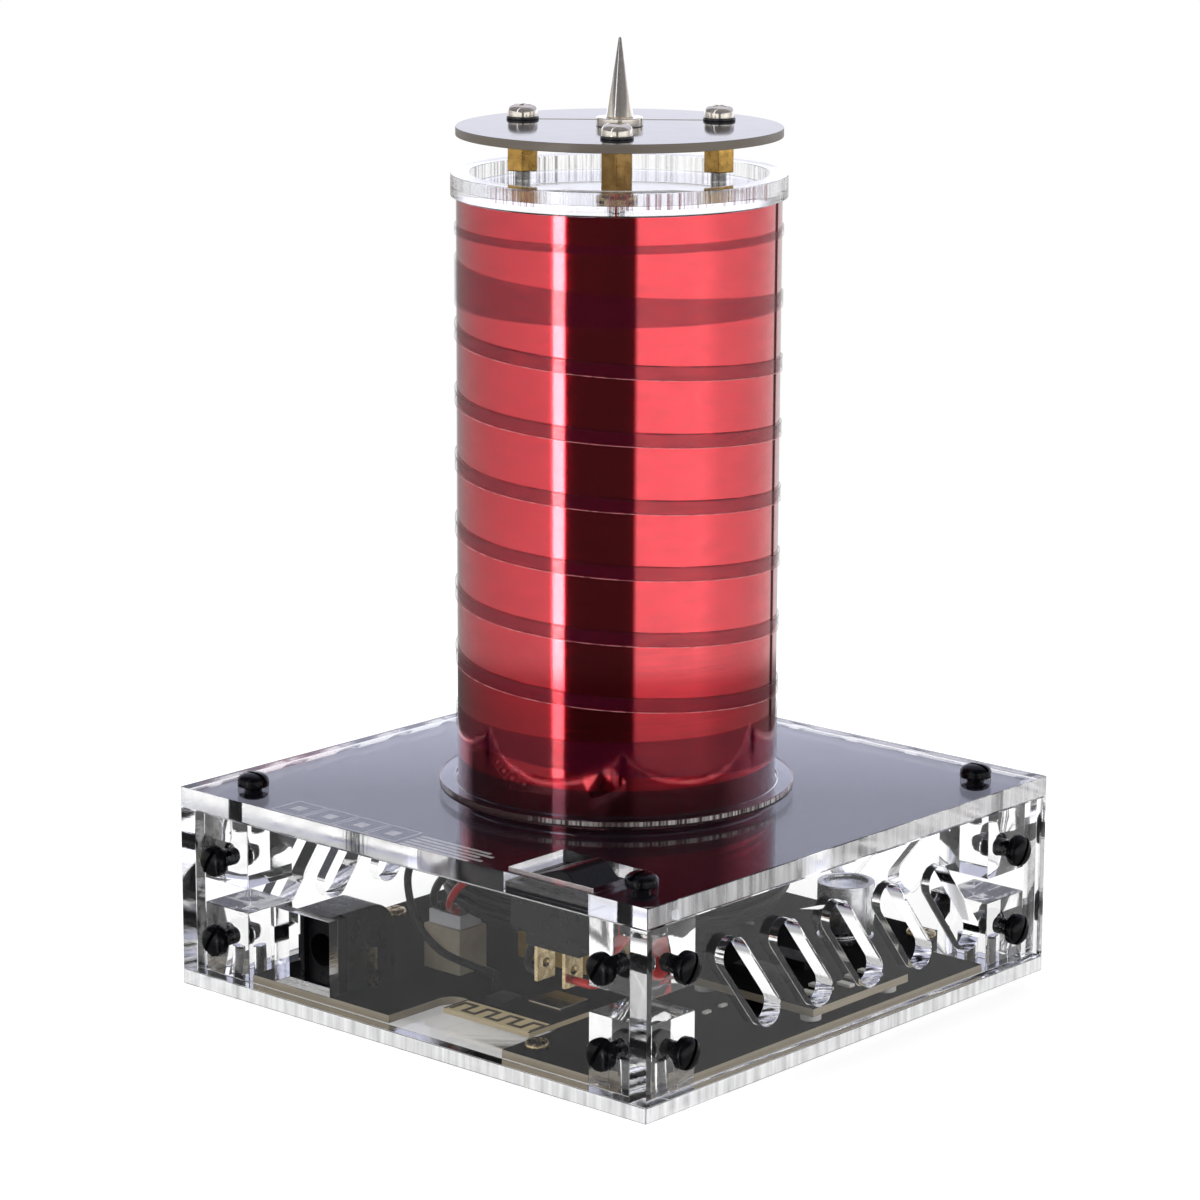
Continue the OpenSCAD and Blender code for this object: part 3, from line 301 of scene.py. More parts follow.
def calc(tree, operation, first, second=0.0, third=0.0):
    item = put(tree, "ShaderNodeMath", operation=operation)
    for socket, value in zip(item.inputs, (first, second, third)):
        feed(tree, socket, value)
    return item.outputs[0]


def vector_calc(tree, operation, first, second=None, amount=None):
    item = put(tree, "ShaderNodeVectorMath", operation=operation)
    feed(tree, item.inputs[0], first)
    if second is not None:
        feed(tree, item.inputs[1], second)
    if amount is not None:
        feed(tree, item.inputs["Scale"], amount)
    return item.outputs


def blend_colours(tree, share, first, second):
    item = put(tree, "ShaderNodeMix", data_type="RGBA")
    feed(tree, item.inputs[0], share)
    feed(tree, item.inputs[6], first)
    feed(tree, item.inputs[7], second)
    return item.outputs[2]


def ranged(tree, value, low, high, to_low=0.0, to_high=1.0, soft=False):
    item = put(tree, "ShaderNodeMapRange", interpolation_type="SMOOTHSTEP" if soft else "LINEAR")
    for socket, given in zip(item.inputs, (value, low, high, to_low, to_high)):
        feed(tree, socket, given)
    return item.outputs[0]


def between(tree, value, low, high, edge):
    """A mask that is 1 from low to high, with soft edges."""
    rise = ranged(tree, value, low - edge, low + edge, soft=True)
    fall = ranged(tree, value, high - edge, high + edge, 1.0, 0.0, soft=True)
    return calc(tree, "MULTIPLY", rise, fall)


def object_place(tree):
    return put(tree, "ShaderNodeTexCoord").outputs["Object"]


def millimetres(tree, stretch=(1.0, 1.0, 1.0)):
    mapping = put(tree, "ShaderNodeMapping")
    feed(tree, mapping.inputs["Vector"], object_place(tree))
    mapping.inputs["Scale"].default_value = [s / MM for s in stretch]
    return mapping.outputs[0]


def axes(tree, place):
    split = put(tree, "ShaderNodeSeparateXYZ")
    feed(tree, split.inputs[0], place)
    return split.outputs


def noise(tree, vector, size, detail=2.0):
    item = put(tree, "ShaderNodeTexNoise")
    feed(tree, item.inputs["Vector"], vector)
    feed(tree, item.inputs["Scale"], size)
    item.inputs["Detail"].default_value = detail
    return item.outputs[0]


def group(name, inputs, outputs):
    """An empty node group with the given sockets, the values it is given and the sockets it puts out."""
    tree = bpy.data.node_groups.new(name, "ShaderNodeTree")
    for title, kind, value in inputs:
        socket = tree.interface.new_socket(title, in_out="INPUT", socket_type="NodeSocket" + kind)
        socket.default_value = value
    for title, kind in outputs:
        tree.interface.new_socket(title, in_out="OUTPUT", socket_type="NodeSocket" + kind)
    return tree, put(tree, "NodeGroupInput").outputs, put(tree, "NodeGroupOutput").inputs


def use(tree, shared, **values):
    item = put(tree, "ShaderNodeGroup", node_tree=shared)
    for title, value in values.items():
        feed(tree, item.inputs[title.replace("_", " ")], value)
    return item.outputs


def rgb(colour):
    return (colour[0], colour[1], colour[2], 1.0)


def dimmed(colour, share):
    return [part * share for part in colour]


GROUPS = {}


def surface_life():
    """Cloudy patches and fine grain, for colour, gloss and height."""
    if "life" not in GROUPS:
        tree, given, out = group("Surface life",
            [("Colour", "Color", (1, 1, 1, 1)), ("Worn Colour", "Color", (1, 1, 1, 1)),
             ("Patch", "Float", 0.2), ("Grain", "Float", 2.0),
             ("Smoothest", "Float", 0.2), ("Roughest", "Float", 0.4)],
            [("Colour", "Color"), ("Roughness", "Float"), ("Height", "Float")])
        place = millimetres(tree)
        cloud = ranged(tree, noise(tree, place, given["Patch"], 3.0), 0.35, 0.65, soft=True)
        grain = noise(tree, place, given["Grain"])
        share = calc(tree, "MULTIPLY_ADD", cloud, 0.7, calc(tree, "MULTIPLY", grain, 0.3))
        feed(tree, out["Colour"], blend_colours(tree, share, given["Colour"], given["Worn Colour"]))
        feed(tree, out["Roughness"], ranged(tree, share, 0.0, 1.0, given["Smoothest"], given["Roughest"]))
        feed(tree, out["Height"], grain)
        GROUPS["life"] = tree
    return GROUPS["life"]


def cut_edges():
    """Saw marks across the cut edge of a clear sheet: a mask of the edge, and the marks' height."""
    if "edges" not in GROUPS:
        tree, given, out = group("Cut edges",
            [("Across", "Vector", (0, 0, 1)), ("Stretch", "Vector", (1, 1, 0.05)),
             ("Face Roughness", "Float", 0.0), ("Edge Roughness", "Float", 0.2)],
            [("Edge", "Float"), ("Roughness", "Float"), ("Height", "Float")])
        normal = put(tree, "ShaderNodeNewGeometry").outputs["True Normal"]
        side = vector_calc(tree, "DOT_PRODUCT", normal, given["Across"])["Value"]
        edge = ranged(tree, calc(tree, "ABSOLUTE", side), 0.9, 0.4)
        place = vector_calc(tree, "MULTIPLY", millimetres(tree), given["Stretch"])["Vector"]
        marks = noise(tree, place, 2.2, 3.0)
        patches = noise(tree, millimetres(tree), 0.12)
        feed(tree, out["Edge"], edge)
        rough = ranged(tree, patches, 0.35, 0.65, 0.3, 1.0)
        feed(tree, out["Roughness"], calc(tree, "MULTIPLY_ADD", calc(tree, "MULTIPLY", edge, rough),
            given["Edge Roughness"], given["Face Roughness"]))
        feed(tree, out["Height"], calc(tree, "MULTIPLY", edge, marks))
        GROUPS["edges"] = tree
    return GROUPS["edges"]


# Materials

MATERIALS = {}

ACRYLIC_BEND = 1.49
# Clear pieces: name, the sheet's thin way, stretch of the saw marks, roughness of the cut edges, height of
# the marks in millimetres, tint and refractive index, which is low on the walls so that they mirror little
CLEAR = {
    "plate": ("Clear plate", (0, 0, 1), (1.0, 1.0, 0.04), 0.12, 0.02, (1, 1, 1), ACRYLIC_BEND),
    "side_x": ("Clear wall across X", (1, 0, 0), (0.04, 1.0, 1.0), 0.10, 0.02, (1, 1, 1), 1.36),
    "side_y": ("Clear wall across Y", (0, 1, 0), (1.0, 0.04, 1.0), 0.10, 0.02, (1, 1, 1), 1.32),
    "block": ("Clear block", (0, 0, 1), (1.0, 1.0, 0.05), 0.02, 0.004, (1, 1, 1), ACRYLIC_BEND),
    "disc": ("Clear turned disc", (0, 0, 1), (1.4, 1.4, 0.02), 0.03, 0.03, (1, 1, 1), ACRYLIC_BEND),
    "tube": ("Clear tube", (0, 0, 1), (1.0, 1.0, 0.05), 0.05, 0.004, (0.98, 0.97, 0.96), ACRYLIC_BEND),
}

METAL = {"Metallic": 1.0}
# Plain finishes: name, colour, worn colour, smoothest and roughest gloss, sizes of the patches and of the
# grain, height of the grain in millimetres, and what else the shader is given
FINISHES = {
    "black_plastic": ("Black plastic", (0.001, 0.001, 0.002), (0.003, 0.003, 0.004), (0.16, 0.30), 0.8, 6.0,
        0.006, {"Specular IOR Level": 0.22}),
    "switch_black": ("Switch black", (0.003, 0.003, 0.004), (0.006, 0.006, 0.007), (0.24, 0.38), 0.3, 9.0,
        0.006, {"Specular IOR Level": 0.16}),
    # The tall standoff's brass is darkened: painted shade for the dark panels its faces mirror.
    "dark_brass": ("Dark brass", (0.26, 0.16, 0.06), (0.16, 0.09, 0.03), (0.14, 0.28), 0.7, 5.0, 0.006,
        METAL),
    "steel": ("Nickel", (0.86, 0.81, 0.75), (0.74, 0.69, 0.62), (0.06, 0.14), 0.8, 6.0, 0.004, METAL),
    "washer": ("Dark washer", (0.05, 0.05, 0.055), (0.12, 0.12, 0.12), (0.25, 0.45), 1.5, 8.0, 0.006,
        {"Metallic": 0.8}),
    "contact": ("Tinned brass", (0.52, 0.42, 0.25), (0.38, 0.29, 0.15), (0.18, 0.36), 0.9, 5.0, 0.006, METAL),
    "header": ("Beige nylon", (0.42, 0.37, 0.28), (0.50, 0.45, 0.35), (0.34, 0.5), 0.4, 4.0, 0.01,
        {"Subsurface Weight": 0.1}),
    "plug": ("Pale grey nylon", (0.62, 0.63, 0.67), (0.70, 0.71, 0.75), (0.30, 0.46), 0.4, 4.0, 0.01, {}),
    "lead_red": ("Red insulation", (0.55, 0.015, 0.012), (0.44, 0.010, 0.010), (0.26, 0.42), 0.5, 5.0, 0.01,
        {"Coat Weight": 0.2}),
    "lead_black": ("Black insulation", (0.012, 0.012, 0.014), (0.022, 0.022, 0.025), (0.34, 0.50), 0.5, 5.0,
        0.01, {"Specular IOR Level": 0.12}),
    "can": ("Drawn aluminium", (0.78, 0.78, 0.80), (0.62, 0.63, 0.66), (0.16, 0.30), 0.5, 6.0, 0.004, METAL),
    "film": ("Yellow film", (0.62, 0.40, 0.10), (0.52, 0.33, 0.08), (0.22, 0.40), 0.3, 3.0, 0.01, {}),
    "sink": ("Black anodised", (0.02, 0.02, 0.022), (0.035, 0.035, 0.04), (0.30, 0.46), 0.5, 7.0, 0.008,
        {"Metallic": 0.6}),
    "chip": ("Chip plastic", (0.010, 0.010, 0.011), (0.018, 0.018, 0.020), (0.40, 0.60), 0.8, 9.0, 0.012,
        {"Specular IOR Level": 0.1}),
    "ceramic": ("Pale ceramic", (0.72, 0.70, 0.64), (0.80, 0.78, 0.72), (0.35, 0.5), 0.6, 6.0, 0.01, {}),
    "former": ("Former black", (0.006, 0.006, 0.007), (0.012, 0.012, 0.013), (0.45, 0.6), 0.2, 3.0, 0.02,
        {"Specular IOR Level": 0.05}),
    "white": ("White nylon", (0.74, 0.74, 0.72), (0.80, 0.80, 0.78), (0.35, 0.5), 0.4, 5.0, 0.01, {}),
    "aerial": ("Dark aerial", (0.05, 0.04, 0.03), (0.08, 0.06, 0.04), (0.25, 0.4), 0.8, 6.0, 0.004, {}),
    "fine_wire": ("Enamelled wire end", (0.50, 0.10, 0.06), (0.38, 0.07, 0.05), (0.18, 0.3), 0.8, 6.0, 0.004,
        {"Metallic": 0.7}),
}

BOARD_FACE = ((0.007, 0.007, 0.008), (0.014, 0.013, 0.014))
# Laminates: name, face colours, edge colour, smoothest and roughest gloss, height of the grain, the gilt
# patch as (x from, to), (y from, to) in millimetres, and the strength of the mirror image
LAMINATES = {
    "electrode": ("Electrode board", ((0.008, 0.008, 0.012), (0.014, 0.014, 0.020)), (0.20, 0.17, 0.14),
        (0.04, 0.09), 0.002, None, 0.5),
    "board": ("Black board", BOARD_FACE, (0.40, 0.35, 0.27), (0.60, 0.80), 0.004, None, 0.01),
    "radio": ("Radio board", BOARD_FACE, (0.62, 0.52, 0.34), (0.60, 0.80), 0.004,
        ((0.3, 21.3), (-48.0, -41.2)), 0.01),
}

STREAKY = (1.0, 1.0, 0.08)
PALE = ((0.855, 0.855, 0.874), (0.95, 0.95, 0.95))
# Thin films: name, stretch, size and detail of the clouds, their span, the film's least and most cover, its
# two tones and roughness
FILMS = {
    "frost": ("Saw frost", STREAKY, 0.5, 3.0, (0.35, 0.65), (0.40, 0.75), PALE, 0.5),
    "faint_frost": ("Faint saw frost", STREAKY, 0.5, 3.0, (0.35, 0.65), (0.15, 0.45), PALE, 0.5),
    "marks": ("Pale print", STREAKY, 0.5, 3.0, (0.35, 0.65), (0.35, 0.6),
        ((0.675, 0.675, 0.69), (0.75, 0.75, 0.75)), 0.5),
    "tape": ("Clear tape", (0.3, 0.3, 1.0), 0.6, 2.0, (0.3, 0.7), (0.02, 0.05),
        ((0.10, 0.01, 0.015), (0.10, 0.01, 0.015)), 0.05),
    "lap": ("Tape over tape", (0.2, 0.2, 2.0), 0.8, 2.0, (0.3, 0.7), (0.16, 0.24),
        ((0.08, 0.002, 0.018), (0.12, 0.004, 0.030)), 0.10),
    # The tape edge film is a painted highlight along the tape's edge.
    "tape_edge": ("Tape edge", (1.0, 1.0, 1.0), 0.4, 2.0, (0.35, 0.6), (0.15, 0.6),
        ((0.85, 0.35, 0.36), (0.85, 0.35, 0.36)), 0.3),
    # The tape edge in shadow film is a painted shadow line.
    "tape_shadow": ("Tape edge in shadow", (1.0, 1.0, 1.0), 0.3, 2.0, (0.35, 0.6), (0.2, 0.75),
        ((0.05, 0.004, 0.012), (0.05, 0.004, 0.012)), 0.3),
}


def new_material(name):
    material = bpy.data.materials.new(name)
    material.use_nodes = True
    return material, material.node_tree, material.node_tree.nodes["Principled BSDF"]


def add_bump(tree, shader, height, distance):
    bump = put(tree, "ShaderNodeBump")
    bump.inputs["Strength"].default_value = 1.0
    bump.inputs["Distance"].default_value = distance * MM
    feed(tree, bump.inputs["Height"], height)
    feed(tree, shader.inputs["Normal"], bump.outputs[0])


def finish(name, colour, worn, rough, patch, grain, bump, fixed):
    """An opaque material whose colour, gloss and height vary over the surface."""
    material, tree, shader = new_material(name)
    life = use(tree, surface_life(), Colour=rgb(colour), Worn_Colour=rgb(worn), Patch=patch, Grain=grain,
        Smoothest=rough[0], Roughest=rough[1])
    feed(tree, shader.inputs["Base Color"], life["Colour"])
    feed(tree, shader.inputs["Roughness"], life["Roughness"])
    add_bump(tree, shader, life["Height"], bump)
    for title, value in fixed.items():
        shader.inputs[title].default_value = value
    return material


def edged(name, faces, edge_colour, rough, bump, field, gloss):
    """A laminate with dark faces and paler cut edges."""
    material, tree, shader = new_material(name)
    life = use(tree, surface_life(), Colour=rgb(faces[0]), Worn_Colour=rgb(faces[1]), Patch=0.2, Grain=3.0,
        Smoothest=rough[0], Roughest=rough[1])
    edge = use(tree, cut_edges(), Stretch=(0.3, 0.3, 3.0))["Edge"]
    layers = noise(tree, millimetres(tree, (0.1, 0.1, 3.0)), 1.0)
    edge_life = blend_colours(tree, layers, rgb(edge_colour), rgb(dimmed(edge_colour, 0.7)))
    tone = life["Colour"]
    if field:
        place = axes(tree, millimetres(tree))
        patch = calc(tree, "MULTIPLY", between(tree, place["X"], *field[0], 0.1),
            between(tree, place["Y"], *field[1], 0.1))
        gilt = blend_colours(tree, layers, (0.62, 0.50, 0.28, 1), (0.72, 0.62, 0.40, 1))
        tone = blend_colours(tree, patch, tone, gilt)
    feed(tree, shader.inputs["Base Color"], blend_colours(tree, edge, tone, edge_life))
    feed(tree, shader.inputs["Roughness"], calc(tree, "MULTIPLY_ADD", edge, 0.3, life["Roughness"]))
    shader.inputs["Specular IOR Level"].default_value = gloss
    add_bump(tree, shader, life["Height"], bump)
    return material


def let_light_through(tree, shader, shade=0.1):
    """Light reaches what lies behind a clear piece; the eye and reflections see the piece itself."""
    path = put(tree, "ShaderNodeLightPath")
    passing = calc(tree, "MAXIMUM", path.outputs["Is Shadow Ray"], path.outputs["Is Diffuse Ray"])
    feed(tree, shader.inputs["Alpha"], calc(tree, "MULTIPLY_ADD", passing, shade - 1.0, 1.0))


def clear_sheet(name, across, stretch, edge_rough, bump, tint, bend):
    material, tree, shader = new_material(name)
    edges = use(tree, cut_edges(), Across=across, Stretch=stretch, Edge_Roughness=edge_rough)
    feed(tree, shader.inputs["Roughness"], edges["Roughness"])
    add_bump(tree, shader, edges["Height"], bump)
    shader.inputs["Base Color"].default_value = rgb(tint)
    shader.inputs["Transmission Weight"].default_value = 1.0
    shader.inputs["IOR"].default_value = bend
    let_light_through(tree, shader)
    return material


def cloudy_film(name, stretch, size, detail, span, cover, tones, rough):
    """A thin film whose cover and tone vary: tape, a painted highlight or shadow line along a tape's edge,
    saw frost or a pale mark.
    """
    material, tree, shader = new_material(name)
    clouds = noise(tree, millimetres(tree, stretch), size, detail)
    feed(tree, shader.inputs["Alpha"], ranged(tree, clouds, *span, *cover))
    if tones[0] == tones[1]:
        shader.inputs["Base Color"].default_value = rgb(tones[0])
    else:
        feed(tree, shader.inputs["Base Color"], blend_colours(tree, clouds, rgb(tones[0]), rgb(tones[1])))
    shader.inputs["Roughness"].default_value = rough
    return material


def brass_on_stud(brass_colour):
    """A hexagon of brass above a bare steel stud."""
    material = finish("Brass on a steel stud", brass_colour, dimmed(brass_colour, 0.66), (0.14, 0.3), 0.7,
        5.0, 0.006, METAL)
    tree = material.node_tree
    socket = tree.nodes["Principled BSDF"].inputs["Base Color"]
    brass = socket.links[0].from_socket
    hexagon = ranged(tree, axes(tree, millimetres(tree))["Z"], *STUD_TOP)
    feed(tree, socket, blend_colours(tree, hexagon, (0.42, 0.41, 0.40, 1), brass))
    return material


def disc_rim():
    """Fine upright lines on the end disc's rim, with a painted reflection in their colour: white in places
    and red where the coil shines through.
    """
    material, tree, shader = new_material("Rim striae with painted reflection")
    upright = millimetres(tree, (1.0, 1.0, 0.02))
    streaks = noise(tree, upright, 1.6, 3.0)
    zones = noise(tree, upright, 0.06, 1.0)
    feed(tree, shader.inputs["Alpha"], calc(tree, "MULTIPLY", ranged(tree, streaks, 0.45, 0.66, 0.0, 0.6),
        ranged(tree, zones, 0.40, 0.55, 0.25, 1.0)))
    # Painted reflection: white zones and the coil's red, by place round the rim.
    feed(tree, shader.inputs["Base Color"], blend_colours(tree, ranged(tree, zones, 0.42, 0.56),
        (0.92, 0.90, 0.90, 1), (0.34, 0.12, 0.13, 1)))
    shader.inputs["Roughness"].default_value = 0.3
    return material


def ring_rim():
    """The base ring's rim: upright lines in a painted reflection, pale and dark, over a painted contact
    shadow at the foot.
    """
    material, tree, shader = new_material("Ring rim with painted reflection and shadow")
    upright = millimetres(tree, (1.0, 1.0, 0.02))
    streaks = noise(tree, upright, 1.4, 3.0)
    pale = ranged(tree, noise(tree, upright, 0.04, 1.0), 0.45, 0.56)
    # Painted reflection: the lines' pale and dark tones.
    tone = blend_colours(tree, calc(tree, "MULTIPLY", ranged(tree, streaks, 0.40, 0.60), pale),
        (0.06, 0.03, 0.03, 1), (0.72, 0.68, 0.66, 1))
    # Painted contact shadow: near black just above the top plate.
    above_painted_shadow = ranged(tree, axes(tree, millimetres(tree))["Z"], LID_TOP + 0.5, LID_TOP + 0.6)
    feed(tree, shader.inputs["Base Color"], blend_colours(tree, above_painted_shadow, (0.004, 0.003, 0.004, 1), tone))
    feed(tree, shader.inputs["Alpha"], ranged(tree, streaks, 0.3, 0.7, 0.55, 0.9))
    shader.inputs["Roughness"].default_value = 0.2
    return material


def wire_layer(wire):
    """The enamelled wire of the coil: a darker red band at the foot, a painted reflection of the lid and
    ring, cloudy red above, under a clear hard coat.
    """
    material, tree, shader = new_material("Enamelled wire layer")
    # Painted reflection: the wire is darker red below this height, where the lid and ring are mirrored.
    foot = ranged(tree, axes(tree, millimetres(tree))["Z"], *PAINTED_REFLECTION_FOOT)
    cloud = noise(tree, millimetres(tree, (0.4, 0.4, 1.0)), 0.5)
    red = blend_colours(tree, cloud, rgb(wire), rgb(dimmed(wire, 1.12)))
    feed(tree, shader.inputs["Base Color"], blend_colours(tree, foot, (0.24, 0.002, 0.012, 1), red))
    turns = noise(tree, millimetres(tree, (0.02, 0.02, 3.0)), 1.0)
    feed(tree, shader.inputs["Roughness"], ranged(tree, turns, 0.3, 0.7, 0.07, 0.11))
    add_bump(tree, shader, turns, 0.002)
    coat = {"Metallic": 1.0, "Coat Weight": 1.0, "Coat Roughness": 0.03, "Coat IOR": 1.8}
    for title, value in coat.items():
        shader.inputs[title].default_value = value
    return material


def make_materials(own):
    for table, maker in ((CLEAR, clear_sheet), (FINISHES, finish), (LAMINATES, edged), (FILMS, cloudy_film)):
        for key, row in table.items():
            MATERIALS[key] = maker(*row)
    MATERIALS["mask"] = finish("Black sheet", own.mask_colour, dimmed(own.mask_colour, 1.5), (0.18, 0.26),
        0.1, 1.0, 0.002, {})
    MATERIALS["spike"] = finish("Bright nickel", own.spike_colour, dimmed(own.spike_colour, 0.86),
        (0.05, 0.12), 0.8, 6.0, 0.004, {"Metallic": 0.78})
    MATERIALS["stud_brass"] = brass_on_stud(own.brass_colour)
    MATERIALS["striae"] = disc_rim()
    MATERIALS["ring_rim"] = ring_rim()
    MATERIALS["wire"] = wire_layer(own.wire_colour)
    # The saw frost glows a little: painted light on the bottom plate's cut edges.
    frost = MATERIALS["frost"].node_tree.nodes["Principled BSDF"]
    frost.inputs["Emission Color"].default_value = (1, 1, 1, 1)
    frost.inputs["Emission Strength"].default_value = 0.15


# Settings

def colour_setting(name, description, default):
    return FloatVectorProperty(name=name, description=description, default=default, subtype="COLOR", min=0.0,
        max=1.0)


def angle_setting(name, description, degrees):
    return FloatProperty(name=name, description=description, default=math.radians(degrees), unit="ROTATION")


class TransformerSettings(bpy.types.PropertyGroup):
    edge_chamfer: FloatProperty(name="Edge chamfer", description="Chamfer on the clear sheets' edges",
        default=0.00014, min=0.00002, max=0.0005, unit="LENGTH", precision=5)
    glass_gap: FloatProperty(name="Clear gap", description="Air left round each clear piece",
        default=0.00002, min=0.0, max=0.0001, unit="LENGTH", precision=6)
    camera_turn: angle_setting("Camera turn", "Direction of the camera round the object", 41.505)
    camera_pitch: angle_setting("Camera pitch", "How far the camera looks down", 12.851)
    camera_roll: angle_setting("Camera roll", "Roll of the camera about its own axis", 0.236)
    camera_lens: FloatProperty(name="Lens", description="Focal length, in millimetres on a 36 mm frame",
        default=123.645, min=20.0, max=400.0)
    camera_place: FloatVectorProperty(name="Camera place", description="Where the camera stands",
        default=(0.51275, -0.58449, 0.25364), subtype="XYZ", unit="LENGTH")
    wire_colour: colour_setting("Wire", "Colour of the coil's enamelled wire", (0.80, 0.014, 0.034))
    brass_colour: colour_setting("Brass", "Colour of the short standoffs", (0.60, 0.36, 0.10))
    spike_colour: colour_setting("Spike", "Colour of the spike and the screws round it", (0.92, 0.85, 0.76))
    mask_colour: colour_setting("Black sheet", "Colour of the sheet under the top plate",
        (0.006, 0.005, 0.008))
    floor_colour: colour_setting("Floor", "Colour of the floor", (0.80, 0.80, 0.80))
    lamp_power: FloatProperty(name="Lamp power", description="Power of the main soft lamp",
        default=10.0, min=0.0, max=200.0, unit="POWER")


def settings():
    return bpy.context.scene.transformer


# Stage

# What glossy surfaces mirror, as (angle round the object in degrees, light): below the object's middle, high
# up, and in a belt between. The strip is the brightest light.
STRIP = 8.0
LOW_PANELS = ((-180, 0.80), (-175.6, 0.80), (-175.4, 0.05), (-168.6, 0.05), (-168.4, 0.75), (-140, 0.60),
    (-116, 0.35), (-80, 0.52), (-40, 0.72), (-10, 0.85), (-6.0, 0.90), (-4.0, STRIP), (2.6, STRIP),
    (3.6, 0.26), (5.4, 0.05), (53.2, 0.05), (53.8, 1.30), (97.2, 1.34), (97.8, 1.46), (118, 1.0), (150, 0.8),
    (180, 0.80))
HIGH_PANELS = ((-180, 1.0), (-100, 1.0), (-85, 0.08), (-5.5, 0.10), (-4.5, 2.5), (3.5, 2.5), (5, 0.06),
    (53, 0.06), (60, 0.12), (120, 0.12), (150, 0.9), (180, 1.0))
BELT_PANELS = ((-180, 1.0), (-120, 0.9), (-60, 0.5), (-30, 1.1), (33, 1.2), (36, 0.05), (50, 0.05), (53, 1.1),
    (100, 1.2), (140, 0.5), (170, 0.9), (180, 1.0))
HIGH_TINT = (0.96, 0.99, 1.25)


def panels(tree, share, rows, tint=(1, 1, 1)):
    """A ramp of light round the object."""
    item = put(tree, "ShaderNodeValToRGB")
    elements = item.color_ramp.elements
    while len(elements) > 1:
        elements.remove(elements[-1])
    stops = [((angle + 180) / 360, rgb([level / STRIP * t for t in tint])) for angle, level in rows]
    elements[0].position, elements[0].color = stops[0]
    for where, colour in stops[1:]:
        elements.new(where).color = colour
    feed(tree, item.inputs[0], share)
    return item.outputs[0]


def surround_material():
    """What the glossy surfaces mirror: soft panels and dark gaps round the object."""
    material = bpy.data.materials.new("Mirrored studio")
    material.use_nodes = True
    tree = material.node_tree
    tree.nodes.clear()
    place = axes(tree, object_place(tree))
    height = place["Z"]
    turn = calc(tree, "ARCTAN2", place["X"], calc(tree, "MULTIPLY", place["Y"], -1.0))
    share = ranged(tree, turn, -math.pi, math.pi)
    low_light = panels(tree, share, LOW_PANELS)
    high_light = panels(tree, share, HIGH_PANELS, HIGH_TINT)
    belt_light = panels(tree, share, BELT_PANELS)

    front = between(tree, turn, math.radians(-80), math.radians(150), 0.2)
    belt = calc(tree, "MULTIPLY", between(tree, height, 0.07, 0.42, 0.03), front)
    faded = vector_calc(tree, "SCALE", high_light, amount=ranged(tree, height, 0.36, 0.485, 1.50, 0.56))
    warm = blend_colours(tree, ranged(tree, height, 0.37, 0.43), (0.93, 0.91, 0.80, 1), (1, 1, 1, 1))
    warmed = vector_calc(tree, "MULTIPLY", faded[0], warm)
    upper = blend_colours(tree, belt, warmed[0], belt_light)
    sunk = ranged(tree, height, -0.33, -0.312, 0.30, 1.0, soft=True)
    lower = vector_calc(tree, "SCALE", low_light, amount=sunk)
    light = put(tree, "ShaderNodeEmission")
    feed(tree, light.inputs["Color"], blend_colours(tree, ranged(tree, height, 0.02, 0.06), lower[0], upper))
    light.inputs["Strength"].default_value = STRIP
    feed(tree, put(tree, "ShaderNodeOutputMaterial").inputs["Surface"], light.outputs[0])
    return material


def seen_ray(tree):
    """1 for a ray from the eye, off a mirror or through clear material, and 0 for the light on a surface."""
    path = put(tree, "ShaderNodeLightPath").outputs
    return calc(tree, "MAXIMUM", path["Is Camera Ray"],
        calc(tree, "MAXIMUM", path["Is Glossy Ray"], path["Is Transmission Ray"]))


def soft_lamp(name, place, aim, size, power):
    lamp = bpy.data.lights.new(name, "AREA")
    lamp.shape = "RECTANGLE"
    lamp.size, lamp.size_y = size
    lamp.energy = power
    obj = bpy.data.objects.new(name, lamp)
    obj.location = place
    obj.rotation_euler = (Vector(aim) - Vector(place)).to_track_quat("-Z", "Y").to_euler()
    obj.visible_glossy = False
    obj.visible_transmission = False
    bpy.context.scene.collection.objects.link(obj)


def set_camera(scene, own):
    camera = bpy.data.objects.new("Camera", bpy.data.cameras.new("Camera"))
    camera.data.lens = own.camera_lens
    camera.data.sensor_width = 36.0
    camera.data.clip_start = 0.01
    turn, pitch, roll = own.camera_turn, own.camera_pitch, own.camera_roll
    back = Vector((math.sin(turn) * math.cos(pitch), -math.cos(turn) * math.cos(pitch), math.sin(pitch)))
    right = Vector((math.cos(turn), math.sin(turn), 0.0))
    up = back.cross(right)
    side = right * math.cos(roll) + up * math.sin(roll)
    top = up * math.cos(roll) - right * math.sin(roll)
    aim = Matrix((side, top, back)).transposed().to_4x4()
    camera.matrix_world = Matrix.Translation(own.camera_place) @ aim
    scene.collection.objects.link(camera)
    scene.camera = camera


